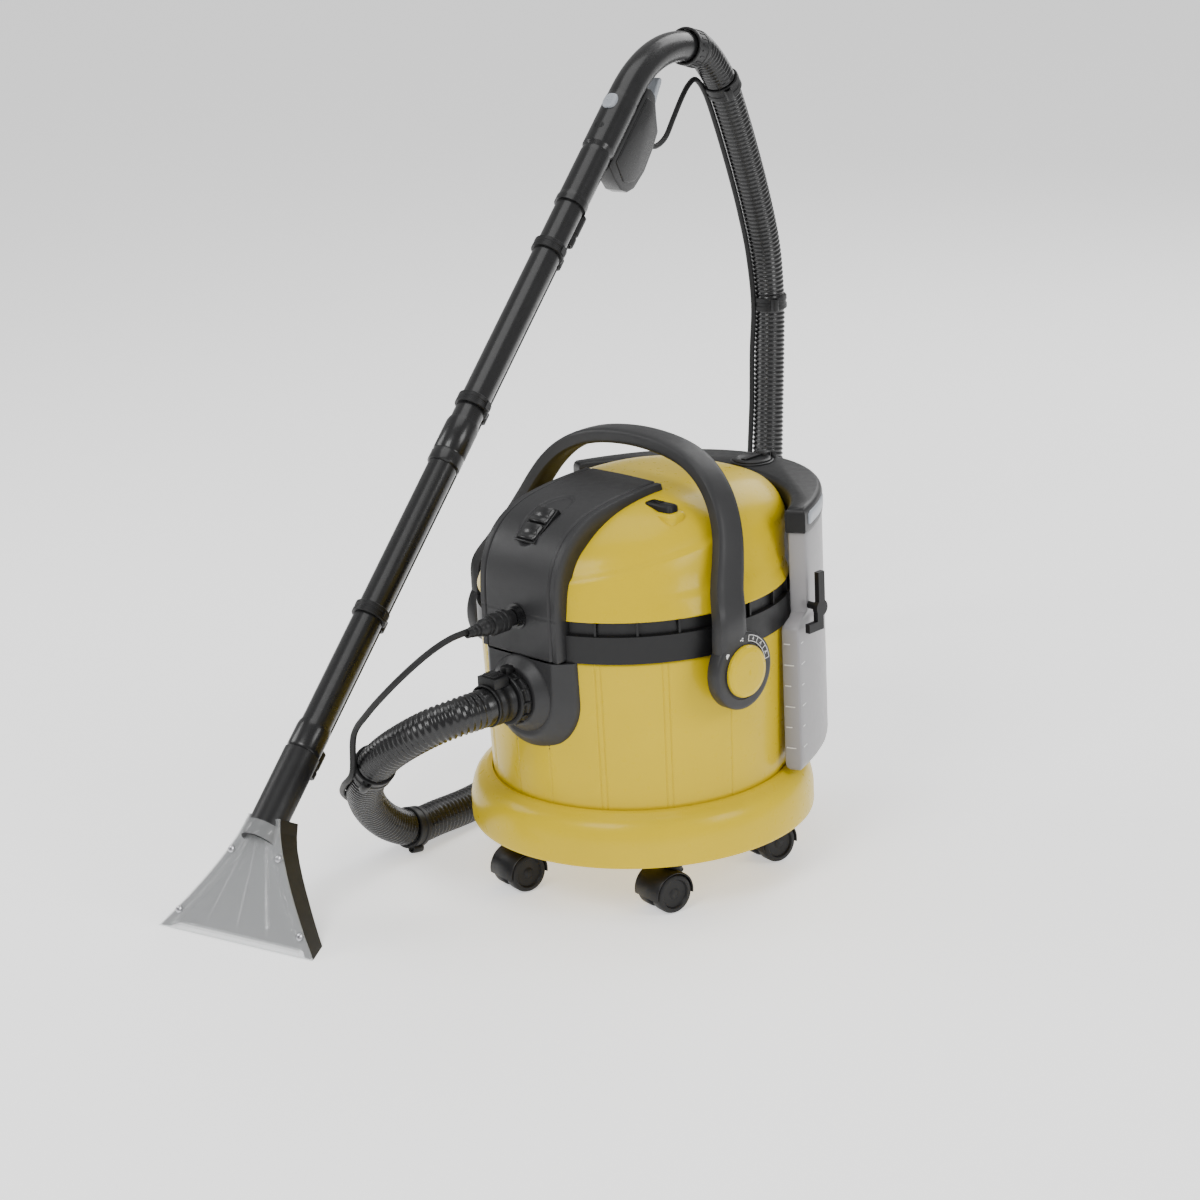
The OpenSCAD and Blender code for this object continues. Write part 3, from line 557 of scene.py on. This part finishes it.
# ---------------------------------------------------------------- front panels
PANEL_SIDE = [(-178, 290), (-178, 318), (-178, 345), (-176, 372), (-170, 393), (-158, 412), (-140, 427),
    (-114, 438),
              (-80, 444), (-44, 447), (-8, 448)]
PANEL_HALF = 57


def panel_across(x):
    """Height of the panel's face over its side profile at one place across."""
    edge = PANEL_HALF - abs(x)
    if edge < 1:
        return -0.9 * (1 - edge) ** 1.5
    if 7.6 < edge < 9.4:
        return -1.5
    return 0.0 if edge <= 7.6 else 0.6 + 0.9 * (1 - (x / 48) ** 2)


def upper_panel():
    line = spline([(0, y, z) for y, z in PANEL_SIDE], 1.6)
    xs = sorted({-PANEL_HALF + 1.5 * k for k in range(77)} | {s * v for s in (-1, 1) for v in (56.7, 56.2,
        49.4, 49.1, 47.9, 47.6)})
    run, mid = 0.0, None
    stations = []
    for i, p in enumerate(line):
        t = (line[min(i + 1, len(line) - 1)] - line[max(i - 1, 0)]).normalized()
        n = Vector((0, -t.z, t.y))
        if i:
            run += (p - line[i - 1]).length
        stations.append((p, n, run))
        if mid is None and p.y > -131:
            mid = run
    rings = []
    for p, n, run in stations:
        ring = [p + Vector((-PANEL_HALF, 0, 0)) - 24 * n]
        for x in xs:
            h = panel_across(x)
            far = math.sqrt((x / 19) ** 2 + ((run - mid) / 41) ** 2)
            h -= 2.8 * min(1, max(0, (1.05 - far) / 0.09))
            if abs(p.z - 336) < 0.8:
                h -= 0.8
            ring.append(p + Vector((x, 0, 0)) + h * n)
        ring.append(p + Vector((PANEL_HALF, 0, 0)) - 24 * n)
        rings.append(ring)
    end = [q - 9 * stations[-1][1] + Vector((0, 1.5, 0)) for q in rings[-1][1:-1]]
    rings.append([rings[-1][0]] + end + [rings[-1][-1]])
    return rings_mesh(rings)


make("upper_panel_skin", *upper_panel(), "machine", "upper_panel", "dark_plastic")


def lower_panel():
    outline = [(66, 287.5 - 45.5 * k / 8) for k in range(8)]
    outline += [(66 * math.cos(rad(a)), 242 + 64 * math.sin(rad(a))) for a in range(0, -181, -6)]
    outline += [(-66, 287.5 - 45.5 * k / 8) for k in range(7, -1, -1)]
    outline += [(66 - 132 * k / 12, 287.5) for k in range(11, 0, -1)][::-1]
    rings = []
    for inset, depth in ((0, None), (0, -161), (0.8, -163.5), (2.2, -165), (9, -171.5), (16, -177),
        (18.5, -178.3), (21, -178.6)):
        ring = []
        for x, z in outline:
            xi, zi = x * (1 - inset / 66), 287.5 - (287.5 - z) * (1 - inset / 109)
            ring.append((xi, depth if depth else -math.sqrt(168**2 - x * x), zi))
        rings.append(ring)
    return rings_mesh(rings)


PORT = Matrix.Translation((0, -177, 246)) @ Matrix.Rotation(rad(90), 4, "X")
lower = merge(
    lower_panel(),
    lathe([(43.5, -3), (43.4, 0.5), (42.8, 2.4), (41.5, 4), (38, 7.2), (34.6, 10.4), (32.6, 12.4), (31, 13),
        (22.8, 13),
           (22.5, 24.8), (17.5, 24.8), (17.5, 4)], 72, PORT),
)
edge_split(make("lower_panel_skin", *lower, "machine", "lower_panel", "dark_plastic"), 40)

TILT = Matrix.Translation((0, -142, 424.5)) @ Matrix.Rotation(rad(35), 4, "X")


def rocker(y0):
    """A push switch with a finger hollow across its top."""
    rings = []
    for x in (-11.7, -10.9, 10.9, 11.7):
        ring = [(x, y0, -12), (x, y0 + 19.9, -12)]
        for k in range(13):
            y = y0 + 19.9 - 19.9 * k / 12
            dip = 1.5 * math.exp(-(((y - y0 - 6) / 3.5) ** 2))
            ring.append((x, y, 6 - dip - (0.8 if abs(x) > 11 else 0) - (0.7 if k in (0, 12) else 0)))
        rings.append(ring)
    verts, faces = rings_mesh(rings)
    return place(verts, TILT), faces


for switch, y0 in (("suction", -21.7), ("spray", 1.8)):
    edge_split(make(f"rocker_{switch}", *rocker(y0), f"switch_{switch}", f"switch_{switch}", "black_gloss"),
        60)
frame_parts = []
for lo_xy, hi_xy in (((-15, -24), (15, -22)), ((-15, 22), (15, 24)), ((-15, -22), (-12, 22)),
    ((12, -22), (15, 22)), ((-12, -1.5), (12, 1.5))):
    frame_parts.append(box_part((*lo_xy, -18), (*hi_xy, 2), TILT))
frame_parts.append(box_part((-12, -22, -18), (12, 22, -16), TILT))
soften(make("switch_frame", *merge(*frame_parts), "machine", "switch_bezel", "black_gloss"), 0.5, 2)

# ---------------------------------------------------------------- carrying handle
BAIL_X, ARM_T = 184, 17
PIVOT_Y, PIVOT_Z = -34, 270
BAIL_ROUTE = [
    (184, -44, 284), (184, -47, 306), (183, -46, 330), (170, -33, 356), (159, -18, 379), (149, -6, 402),
    (138, 2, 424), (124, 8, 444), (104, 13, 462), (78, 17, 475), (44, 19, 483), (0, 20, 486),
]


def bail():
    whole = BAIL_ROUTE + [(-x, y, z) for x, y, z in reversed(BAIL_ROUTE[:-1])]
    line = spline(whole, 4)
    rings = []
    for i, p in enumerate(line):
        t = (line[min(i + 1, len(line) - 1)] - line[max(i - 1, 0)]).normalized()
        s = t.cross(Vector((0, 1, 0))).normalized()
        v = t.cross(s)
        f = abs(2 * i / (len(line) - 1) - 1)
        wide, thick = 33 + 6 * f * f + 9 * f**8, ARM_T - 1.0
        ring = []
        for a, b in oval(thick / 2, wide / 2, 6.5, 40):
            crown = 0.8 * (1 - (b / (wide / 2)) ** 2)
            ring.append(p + (a + math.copysign(crown, a)) * s + b * v)
        rings.append(ring)
    return rings_mesh(rings)


def hub(side):
    m = Matrix.Translation((side * (BAIL_X - ARM_T / 2), PIVOT_Y,
        PIVOT_Z)) @ Matrix.Rotation(rad(side * 90), 4, "Y")
    t = ARM_T
    return lathe([(8.1, 0), (40, 0), (42, 1), (43, 3), (43, t - 3), (42.2, t - 1.1), (40.6, t - 0.2),
        (38.6, t), (31.4, t),
                  (30.6, t - 0.9), (29.4, t - 0.9), (29, t), (8.1, t)], 80, m)


edge_split(make("handle_arch", *merge(bail(), hub(1), hub(-1)), "handle", "handle_bail", "dark_plastic"), 38)


def print_marks(side):
    """Plain arc, ticks and bar that mark the handle's positions."""
    x0 = side * (BAIL_X + ARM_T / 2)
    parts = []

    def patch(a0, a1, r0, r1, steps=8):
        rings = []
        for k in range(steps + 1):
            a = rad(a0 + (a1 - a0) * k / steps)
            rings.append([(x0 + dx, PIVOT_Y + r * math.cos(a), PIVOT_Z + r * math.sin(a))
                          for dx, r in ((0, r0), (side * 0.25, r0), (side * 0.25, r1), (0, r1))])
        parts.append(rings_mesh(rings))

    patch(8, 78, 38.6, 39.2, 20)
    patch(8, 78, 32.2, 32.8, 20)
    for a in (8, 31, 55, 78):
        patch(a - 0.5, a + 0.5, 32.2, 39.2, 1)
    for a in (20, 43, 66):
        patch(a - 2.5, a + 2.5, 34.4, 35.3, 2)
        patch(a - 0.8, a + 0.8, 34.4, 37.4, 1)
    patch(92, 122, 35, 36.3, 8)
    for a, d in ((92, 3), (122, -3)):
        patch(min(a, a + d), max(a, a + d), 33.8, 37.5, 2)
    patch(134, 143, 33.8, 35.8, 3)
    patch(136, 141, 35.8, 37.6, 3)
    return merge(*parts)


make("handle_marks_right", *print_marks(1), "handle", None, "pale_plastic", smooth=False,
    finish="white_print")
make("handle_marks_left", *print_marks(-1), "handle", None, "pale_plastic", smooth=False,
    finish="white_print")

# ---------------------------------------------------------------- clean-water tank
FILLER_Y = 203
END_MARK_AT = 21.0


def tank_out(a):
    return 195 + 43 * math.sin(rad((min(a, 180 - a) - 18.5) * 90 / 71.5)) ** 2


def crescent(a0, r_in, grow, z):
    ring = []
    for k in range(41):
        a = a0 + (180 - 2 * a0) * k / 40
        r = tank_out(a) - grow
        ring.append((r * math.cos(rad(a)), r * math.sin(rad(a)), z))
    for k in range(41):
        a = 180 - a0 - (180 - 2 * a0) * k / 40
        r = r_in + grow
        ring.append((r * math.cos(rad(a)), r * math.sin(rad(a)), z))
    return ring


TANK_ROWS = [(122.2, 20.8, 175, 6), (123.2, 19.6, 175, 3), (126, 18.8, 175, 1), (131, 18.5, 175, 0),
    (205, 18.5, 175, 0),
             (284, 18.5, 175, 0), (289, 18.9, 175, 0.6), (292.5, 20.5, 175.3, 2), (295, 24, 175.7, 2.6),
             (298, 27.4, 176, 1.4),
             (303, 28, 176, 0.6), (345, 28, 176, 0.5), (388, 28, 176, 0.5)]
tank = make("clean_tank_shell", *rings_mesh([crescent(a0, r, g, z) for z, a0, r, g in TANK_ROWS]),
    "clean_tank",
            "clean_tank", "tank_plastic")
soften(tank, 4, 3, 55)


def level_marks():
    """Short filling marks on the tank's two ends."""
    parts = []
    for k in range(6):
        z = 150 + 24 * k
        long_mark = 7 if k % 2 else 11
        for side in (1, -1):
            a = END_MARK_AT
            r = tank_out(a) + 0.15
            turn = rad(a if side > 0 else 180 - a)
            spot = Matrix.Translation((side * r * math.cos(rad(a)), r * math.sin(rad(a)), z))
            m = spot @ Matrix.Rotation(turn, 4, "Z")
            parts.append(box_part((-0.5, -2, -0.5), (0.3, long_mark - 2, 0.5), m))
            face_turn = rad(18.4 if side > 0 else 161.6)
            m2 = Matrix.Rotation(face_turn, 4, "Z") @ Matrix.Translation((178, 0, z))
            parts.append(box_part((0, -0.4, -0.5), (long_mark, 0.4, 0.5), m2))
    return merge(*parts)


make("tank_level_marks", *level_marks(), "clean_tank", None, "pale_plastic", smooth=False,
    finish="white_print")

CAP_ROWS = [(388.1, 27, 174.9, 0.2), (390, 27, 175, -0.6), (408, 27, 175, -0.5), (412.5, 27.3, 175, 0.8),
    (415, 28, 175, 3),
            (416, 29, 175, 6)]
cap = merge(
    rings_mesh([crescent(a0, r, g, z) for z, a0, r, g in CAP_ROWS]),
    lathe([(22.6, 415.5), (25, 415.5), (25, 417), (24, 417.8), (22.6, 417.8)], 40,
        Matrix.Translation((0, FILLER_Y, 0))),
)
for side in (-1, 1):
    cap = merge(cap, pad_part(2, 3, 414, 423.5, side * 10.5, 228, 1, 6))
edge_split(make("clean_tank_cap_shell", *cap, "clean_tank", "clean_tank_cap", "black_plastic"), 40)


# Pale raised patches on the black cap's two ends are painted highlights: pale colour standing in for light
# glinting off the black plastic.
def painted_highlight_patch(a0, a1, z0, z1):
    rings = []
    for k in range(13):
        a = a0 + (a1 - a0) * k / 12
        squeeze = 1.5 if k in (0, 12) else 0
        r = tank_out(min(a, 180 - a)) + 0.2
        rings.append([((r + d) * math.cos(rad(a)), (r + d) * math.sin(rad(a)), z)
                      for d, z in ((0, z0 + squeeze), (1.2, z0 + 1 + squeeze), (1.2, z1 - 1 - squeeze),
                          (0, z1 - squeeze))])
    return rings_mesh(rings)


# Painted highlights: pale patches standing in for light reflected on the cap's ends.
make("cap_painted_highlights", *merge(painted_highlight_patch(30, 52, 394, 409), painted_highlight_patch(128, 150, 394, 409)), "clean_tank", None,
    "pale_plastic")

lid = merge(
    lathe([(0, 413), (17.6, 413), (17.6, 416.4), (21, 416.4), (22, 417.2), (22, 419), (20.8, 420),
        (17, 420.4), (15.5, 419.4),
           (0, 419.4)], 48, Matrix.Translation((0, FILLER_Y, 0))),
    box_part((-3, 188, 419), (3, 218, 421.4)),
    pad_part(8, 5.4, 417.8, 423.2, 0, 222, 1.2, 6),
)
edge_split(make("filler_lid_skin", *lid, "filler_lid", "filler_lid", "black_plastic"), 40)

# ---------------------------------------------------------------- hose fittings
ring_skin = merge(
    lathe([(24, 14), (27.5, 14), (29, 15.4), (29, 19), (28, 19.8), (28, 24), (29, 24.8), (29, 27.6),
        (27.5, 29), (24, 29)], 60, PORT),
    *[box_part((-1.4, 28, 16), (1.4, 30.4, 27), PORT @ Matrix.Rotation(rad(a), 4, "Z")) for a in range(0,
        360, 30)],
    box_part((-5, 27, 16), (5, 36, 27), PORT),
)
soften(make("bayonet_skin", *ring_skin, "bayonet", "bayonet_ring", "black_plastic"), 0.8, 2)
plug_skin = merge(
    lathe([(17, 26), (22.8, 26), (23.6, 27), (23.6, 33), (22.9, 34), (22.9, 42), (23.6, 43), (23.6, 48),
        (22.9, 49), (22.9, 53),
           (23.6, 54), (23.2, 56), (21.1, 56), (21.1, 38)], 60, PORT),
    box_part((-13, 19.5, 31.5), (13, 31, 53), PORT),
    box_part((-9, 30.5, 34), (9, 33, 50), PORT),
    *[box_part((-9, 32.6, 36 + 3.4 * k), (9, 33.8, 37.4 + 3.4 * k), PORT) for k in range(4)],
)
soften(make("connector_skin", *plug_skin, "machine", "hose_connector", "black_plastic"), 0.9, 2)
SPRAY_PORT = Matrix.Translation((0, -178, 333)) @ Matrix.Rotation(rad(90), 4, "X")
stem = lathe([(0, 0), (6, 0), (6, 9.2), (8.4, 9.2), (9, 9.8), (9, 17.4), (10, 18), (11.4, 18.4), (12, 19.4),
    (12, 24), (11.2, 24.6),
              (11.2, 26.2), (12, 26.8), (12, 31), (11.2, 31.6), (11.2, 33.2), (12, 33.8), (12, 40.6),
              (11, 42), (9.6, 42.4),
              (9.6, 46), (8.8, 46.5), (8.8, 48), (9.5, 48.5), (9.5, 52), (8.6, 54), (7.9, 55), (7.5, 58),
              (6.9, 58.5), (6.9, 60),
              (7.1, 60.6), (6.7, 63), (6.2, 63.5), (6.2, 65), (6.3, 65.6), (5.9, 68.5), (5.4, 69),
              (5.4, 71), (5.2, 74.8), (3.4, 74.8)],
             40, SPRAY_PORT)
edge_split(make("spray_plug_skin", *stem, "machine", "spray_plug", "black_plastic"), 30)
CUFF_END = (
    on_tube(GRIP_BEND_AT)
    @ Matrix.Translation((0, GRIP_BEND_R, 0))
    @ Matrix.Rotation(rad(-GRIP_BEND), 4, "X")
    @ Matrix.Translation((0, -GRIP_BEND_R, 0))
)
cuff = lathe([(21.7, -15.6), (23.4, -15.8), (24.4, -14.6), (24.4, -9), (23.6, -8), (23.6, 6), (24.4, 7),
    (24.4, 12.6), (23.4, 13.8),
              (21.7, 13.8)], 48, CUFF_END)
cuff = merge(cuff, *[box_part((-1.2, 23, -7), (1.2, 24.4, 5), CUFF_END @ Matrix.Rotation(rad(a), 4,
    "Z")) for a in range(0, 360, 20)])
edge_split(make("hose_cuff_skin", *cuff, "hose_cuff", "hose_cuff", "black_plastic"), 35)

# ---------------------------------------------------------------- castors
def castor_matrix(k):
    a = rad(CASTOR_FIRST + CASTOR_STEP * k)
    place_on_ring = Matrix.Translation((CASTOR_RING_R * math.cos(a), CASTOR_RING_R * math.sin(a), 0))
    return place_on_ring @ Matrix.Rotation(rad(CASTOR_HEADING), 4, "Z")


def hood_parts(m):
    axle = m @ Matrix.Translation((0, -CASTOR_TRAIL, WHEEL_R)) @ Matrix.Rotation(rad(90), 4, "Y")
    section = [(23.0, -20.4), (24.2, -21), (25, -20), (25, 20), (24.2, 21), (23.0, 20.4), (22.9, 4.2),
        (11, 4.2), (11, -4.2), (22.9, -4.2)]
    rings = []
    for k in range(33):
        a = rad(180 + 9 - (198 * k / 32))
        rings.append([(-r * math.sin(a), -r * math.cos(a), z) for r, z in section])
    v, f = rings_mesh(rings)
    web = box_part((-3.9, -20, 14), (3.9, -4, 34), m)
    top = lathe([(5, 85), (5, 58), (9.5, 58), (11, 56.5), (11, 44), (12.5, 41)], 32, m)
    return merge((place(v, axle), f), web, top)


def wheel_parts(m):
    parts = []
    for side in (-1, 1):
        axle = m @ Matrix.Translation((0, -CASTOR_TRAIL, WHEEL_R)) @ Matrix.Rotation(rad(90 * side), 4, "Y")
        parts.append(lathe([(0, 5), (19, 5), (21, 5.6), (22, 7.4), (22, 18), (21.2, 20), (19.6, 21),
            (16.6, 21), (15.8, 20), (15.2, 18.6),
                            (6, 18.2), (4.6, 19.4), (0, 19.6)], 48, axle))
    axle = m @ Matrix.Translation((0, -CASTOR_TRAIL, WHEEL_R)) @ Matrix.Rotation(rad(90), 4, "Y")
    parts.append(lathe([(0, -8), (2.9, -8), (2.9, 8), (0, 8)], 16, axle))
    return merge(*parts)


for k in range(5):
    m = castor_matrix(k)
    edge_split(make(f"castor_hood_skin_{k + 1}", *hood_parts(m), f"castor_{k + 1}", f"castor_hood_{k + 1}",
        "black_plastic"), 40)
    edge_split(make(f"castor_wheel_skin_{k + 1}", *wheel_parts(m), f"wheels_{k + 1}",
        f"castor_wheels_{k + 1}", "black_rubber"), 40)

# ---------------------------------------------------------------- wand
def tube_skin(profile):
    """A turned tube along the wand: (distance, radius) pairs, closed with a bore."""
    pairs = [(15.9, profile[0][0])] + [(r, s) for s, r in profile] + [(15.9, profile[-1][0])]
    return lathe(pairs, 56, on_tube(0))


edge_split(make("tube_lower_skin", *tube_skin([(232, 17.4), (262, 17.5), (264, 19.2), (267, 19.8), (290,
    19.8), (296, 19.2), (300, 17.6),
                                              (688, 17.5)]), "machine", "tube_lower", "black_gloss"))
edge_split(make("tube_upper_skin", *tube_skin([(650, 18.6), (651.5, 19.9), (664, 19.9), (665, 19.2), (668,
    19.2), (669, 19.9), (706, 19.9),
                                              (711, 18.8), (714, 17.6), (1118, 17.5)]), "machine",
                                              "tube_upper", "black_gloss"))


def grip_line():
    pts = [on_tube(s) @ Vector((0, 0, 0)) for s in range(1034, 1214, 3)]
    radii = []
    for s in range(1034, 1214, 3):
        r = 20.4 if s < 1046 else 19.3 if s < 1118 else 18.6 if s < 1124 else 20.6 if s < 1200 else 20
        radii.append(r)
    for k in range(29):
        a = rad(GRIP_BEND * k / 28)
        pts.append(wand_point(GRIP_BEND_AT + GRIP_BEND_R * math.sin(a), GRIP_BEND_R * (math.cos(a) - 1)))
        radii.append(19.9 - 0.5 * min(1, k / 8))
    return pts, radii


grip_pts, grip_radii = grip_line()
grip_radii[-1] = 18.2
edge_split(make("grip_skin", *tube(grip_pts, grip_radii, 48), "machine", "handle_grip", "black_gloss"), 40)


def side_plate(points, half, s0):
    """A plate in the wand's upright plane, from (below, along) points."""
    m = on_tube(s0)
    verts, faces = rings_mesh([[m @ Vector((x, b, a)) for b, a in points] for x in (-half, half)])
    return verts, faces


housing = merge(
    side_plate([(19, -4), (19, 122), (27, 126), (40, 127), (58, 113), (77, 100), (83, 76), (87, 44),
        (83, 14), (74, 0), (60, -7), (40, -7)], 12.2, 1120),
    side_plate([(26, 8), (26, 112), (42, 117), (60, 103), (71, 92), (76, 72), (80, 44), (76, 20), (66, 8),
        (56, 2)], 14, 1120),
)
soften(make("trigger_housing_skin", *housing, "machine", "trigger_housing", "black_gloss"), 2.2, 3)
lever = merge(
    side_plate([(54, 8), (49, 22), (42, 44), (37, 64), (39, 70), (43, 71), (46, 66), (51, 46), (59, 26),
        (66, 14), (65, 8)], 7.8, 1206),
)
soften(make("trigger_lever", *lever, "trigger", "trigger", "pale_plastic"), 2.2, 3)
SLIDER = on_tube(1185)
slider = rings_mesh([[SLIDER @ Vector((x, -y, z)) for x, z in oval(8.9 - d, 10.9 - d, 2.6)] for y,
    d in ((15, 0), (22.6, 0), (23.6, 1.2), (24, 3.5))])
grips = [box_part((-5, -24.6, -5 + 4 * k), (5, -23.6, -3.6 + 4 * k), SLIDER) for k in range(3)]
soften(make("vent_slider_skin", *merge(slider, *grips), "vent_slider", "vent_slider", "pale_plastic"), 0.5, 2)
BUTTON = on_tube(1148) @ Matrix.Translation((0, -14.7, 0)) @ Matrix.Rotation(rad(90), 4, "X")
edge_split(make("tube_button_skin", *lathe([(0, 0), (7, 0), (7, 4.4), (6.2, 5.4), (4.4, 5.8), (0, 5.2)], 32,
    BUTTON), "tube_button",
                "tube_button", "black_plastic"))

clip_skins = []
for s in CLIPS_ON_WAND:
    m = on_tube(s)
    clip_skins.append(lathe([(17.6, 0), (20, 0), (20.8, 0.8), (20.8, 5), (20.1, 5.6), (20.1, 8.4),
        (20.8, 9), (20.8, 13.2), (20, 14),
                             (17.6, 14)], 48, m))
    clip_skins.append(lathe([(4.1, 0), (6.4, 0), (7, 0.7), (7, 13.3), (6.4, 14), (4.1, 14)], 24,
        m @ Matrix.Translation((0, PIPE_BELOW, 0))))
    clip_skins.append(box_part((-21.5, -4, 2), (-19.5, 4, 12), m))
    clip_skins.append(box_part((19.5, -4, 2), (21.5, 4, 12), m))
edge_split(make("pipe_clip_skins", *merge(*clip_skins), "machine", "pipe_clips", "black_plastic"))
pipe = on_tube(236)
pipe_skin = merge(
    lathe([(0, 0), (3.6, 0), (4, 0.6), (4, 876), (0, 876)], 20,
          pipe @ Matrix.Translation((0, PIPE_BELOW, 0))),
    lathe([(4, 12), (6.2, 12), (7, 13), (7, 20), (6.2, 21), (6.2, 24), (7, 25), (7, 44), (5, 46), (4, 46)],
        28,
          pipe @ Matrix.Translation((0, FITTING_BELOW, 0))),
    lathe([(4, 762), (6.2, 762), (7, 763), (7, 774), (6, 775), (6, 779), (7, 780), (7, 806), (5, 808),
        (4, 808)], 28,
          pipe @ Matrix.Translation((0, FITTING_BELOW, 0))),
)
edge_split(make("spray_pipe_skin", *pipe_skin, "machine", "spray_pipe", "black_plastic"))

# ---------------------------------------------------------------- floor nozzle
NOZZLE_HALF, FACE_LEAN = 106, 61
FACE = WAND @ Matrix.Rotation(rad(FACE_LEAN), 4, "X")


def fan_half(v):
    return 21 + (NOZZLE_HALF - 21) * max(0, 1 - v / 140) ** 1.35


def window_height(u, v):
    """Raised ridges that fan from the neck to the mouth, and a step inside the flanges."""
    half = fan_half(v)
    from_edge = half * (1 - abs(u))
    h = 2.6 * min(1, max(0, (from_edge - 9) / 3)) if v > 9 else 2.6 * max(0, (v - 4) / 5) * min(1,
        max(0, (from_edge - 9) / 3))
    for k in (-0.45, 0.0, 0.45):
        h += 1.5 * math.exp(-(((u - k) * half / 1.8) ** 2)) * min(1, max(0, (v - 14) / 10)) * min(1,
            max(0, (126 - v) / 10))
    return h


def window_skin():
    rings = []
    for j in range(71):
        v = 140 * j / 70
        half = fan_half(v)
        ring = []
        for k in range(121):
            u = -1 + k / 60
            ring.append(FACE @ Vector((u * half, v, window_height(u, v))))
        for k in range(121):
            u = 1 - k / 60
            ring.append(FACE @ Vector((u * half, v, -2.8 + max(0, window_height(u, v) - 1.2))))
        for p in ring:
            p.z = max(p.z, 0.2)
        rings.append(ring)
    return rings_mesh(rings)


window = merge(
    window_skin(),
    lathe([(20.6, 150), (23, 150), (23.4, 151), (23.4, 166), (22.6, 167.5), (20.6, 168)], 56, on_tube(0)),
)
edge_split(make("nozzle_window_skin", *window, "machine", "nozzle_window", "clear_plastic"), 50)
screws = []
for side in (-1, 1):
    for v in (22, 98):
        m = FACE @ Matrix.Translation((side * (fan_half(v) - 5.5), v, 0))
        screws.append(lathe([(0, -8), (1.8, -8), (1.8, 0.1), (4, 0.1), (4, 1), (3, 1.8), (1.2, 2),
            (1.2, 0.9), (0, 0.9)], 24, m))
edge_split(make("screw_heads", *merge(*screws), "machine", "nozzle_screws", "steel"))
jet = merge(
    lathe([(0, 0), (5, 0), (5.6, 0.8), (5.6, 12), (4.4, 13), (4.4, 20), (3.2, 21), (0, 21)], 28,
          WAND @ Matrix.Translation((0, 88, 78)) @ Matrix.Rotation(rad(-70), 4, "X")),
    box_part((-7, 70, 84), (7, 96, 92), WAND),
)
soften(make("spray_jet", *jet, "machine", None, "black_plastic"), 0.8, 2)

# ---------------------------------------------------------------- studio
def add_floor():
    floor = bpy.data.meshes.new("floor")
    floor.from_pydata([(-9, -9, -0.0003), (9, -9, -0.0003), (9, 9, -0.0003), (-9, 9, -0.0003)], [],
        [(0, 1, 2, 3)])
    obj = bpy.data.objects.new("floor", floor)
    bpy.context.scene.collection.objects.link(obj)
    mat = bpy.data.materials.new("floor")
    mat.use_nodes = True
    mat.node_tree.nodes["Principled BSDF"].inputs["Base Color"].default_value = (0.9, 0.9, 0.9, 1)
    mat.node_tree.nodes["Principled BSDF"].inputs["Roughness"].default_value = 0.85
    mat.node_tree.nodes["Principled BSDF"].inputs["Emission Color"].default_value = (1, 1, 1, 1)
    mat.node_tree.nodes["Principled BSDF"].inputs["Emission Strength"].default_value = 0.7
    floor.materials.append(mat)


def add_light(name, place_m, target_m, power, size):
    data = bpy.data.lights.new(name, "AREA")
    data.energy = power
    data.size = size
    light = bpy.data.objects.new(name, data)
    bpy.context.scene.collection.objects.link(light)
    look = (Vector(target_m) - Vector(place_m)).to_track_quat("-Z", "Y")
    light.matrix_world = Matrix.Translation(place_m) @ look.to_matrix().to_4x4()


add_floor()
add_light("key", (0.6, -2.6, 2.6), (0, 0, 0.3), 62, 1.4)
add_light("fill", (2.8, 0.6, 1.8), (0, 0, 0.3), 38, 1.2)
add_light("left", (-2.4, -1.4, 1.8), (-0.1, 0, 0.3), 26, 1.2)
add_light("top", (-0.2, 0.3, 3.2), (0, 0, 0), 30, 2.0)
add_light("back", (-0.6, 2.8, 2.2), (0, 0, 0.4), 40, 1.8)
world = bpy.data.worlds.new("studio")
world.use_nodes = True
world.node_tree.nodes["Background"].inputs["Color"].default_value = (1, 1, 1, 1)
world.node_tree.nodes["Background"].inputs["Strength"].default_value = 0.5
bpy.context.scene.world = world
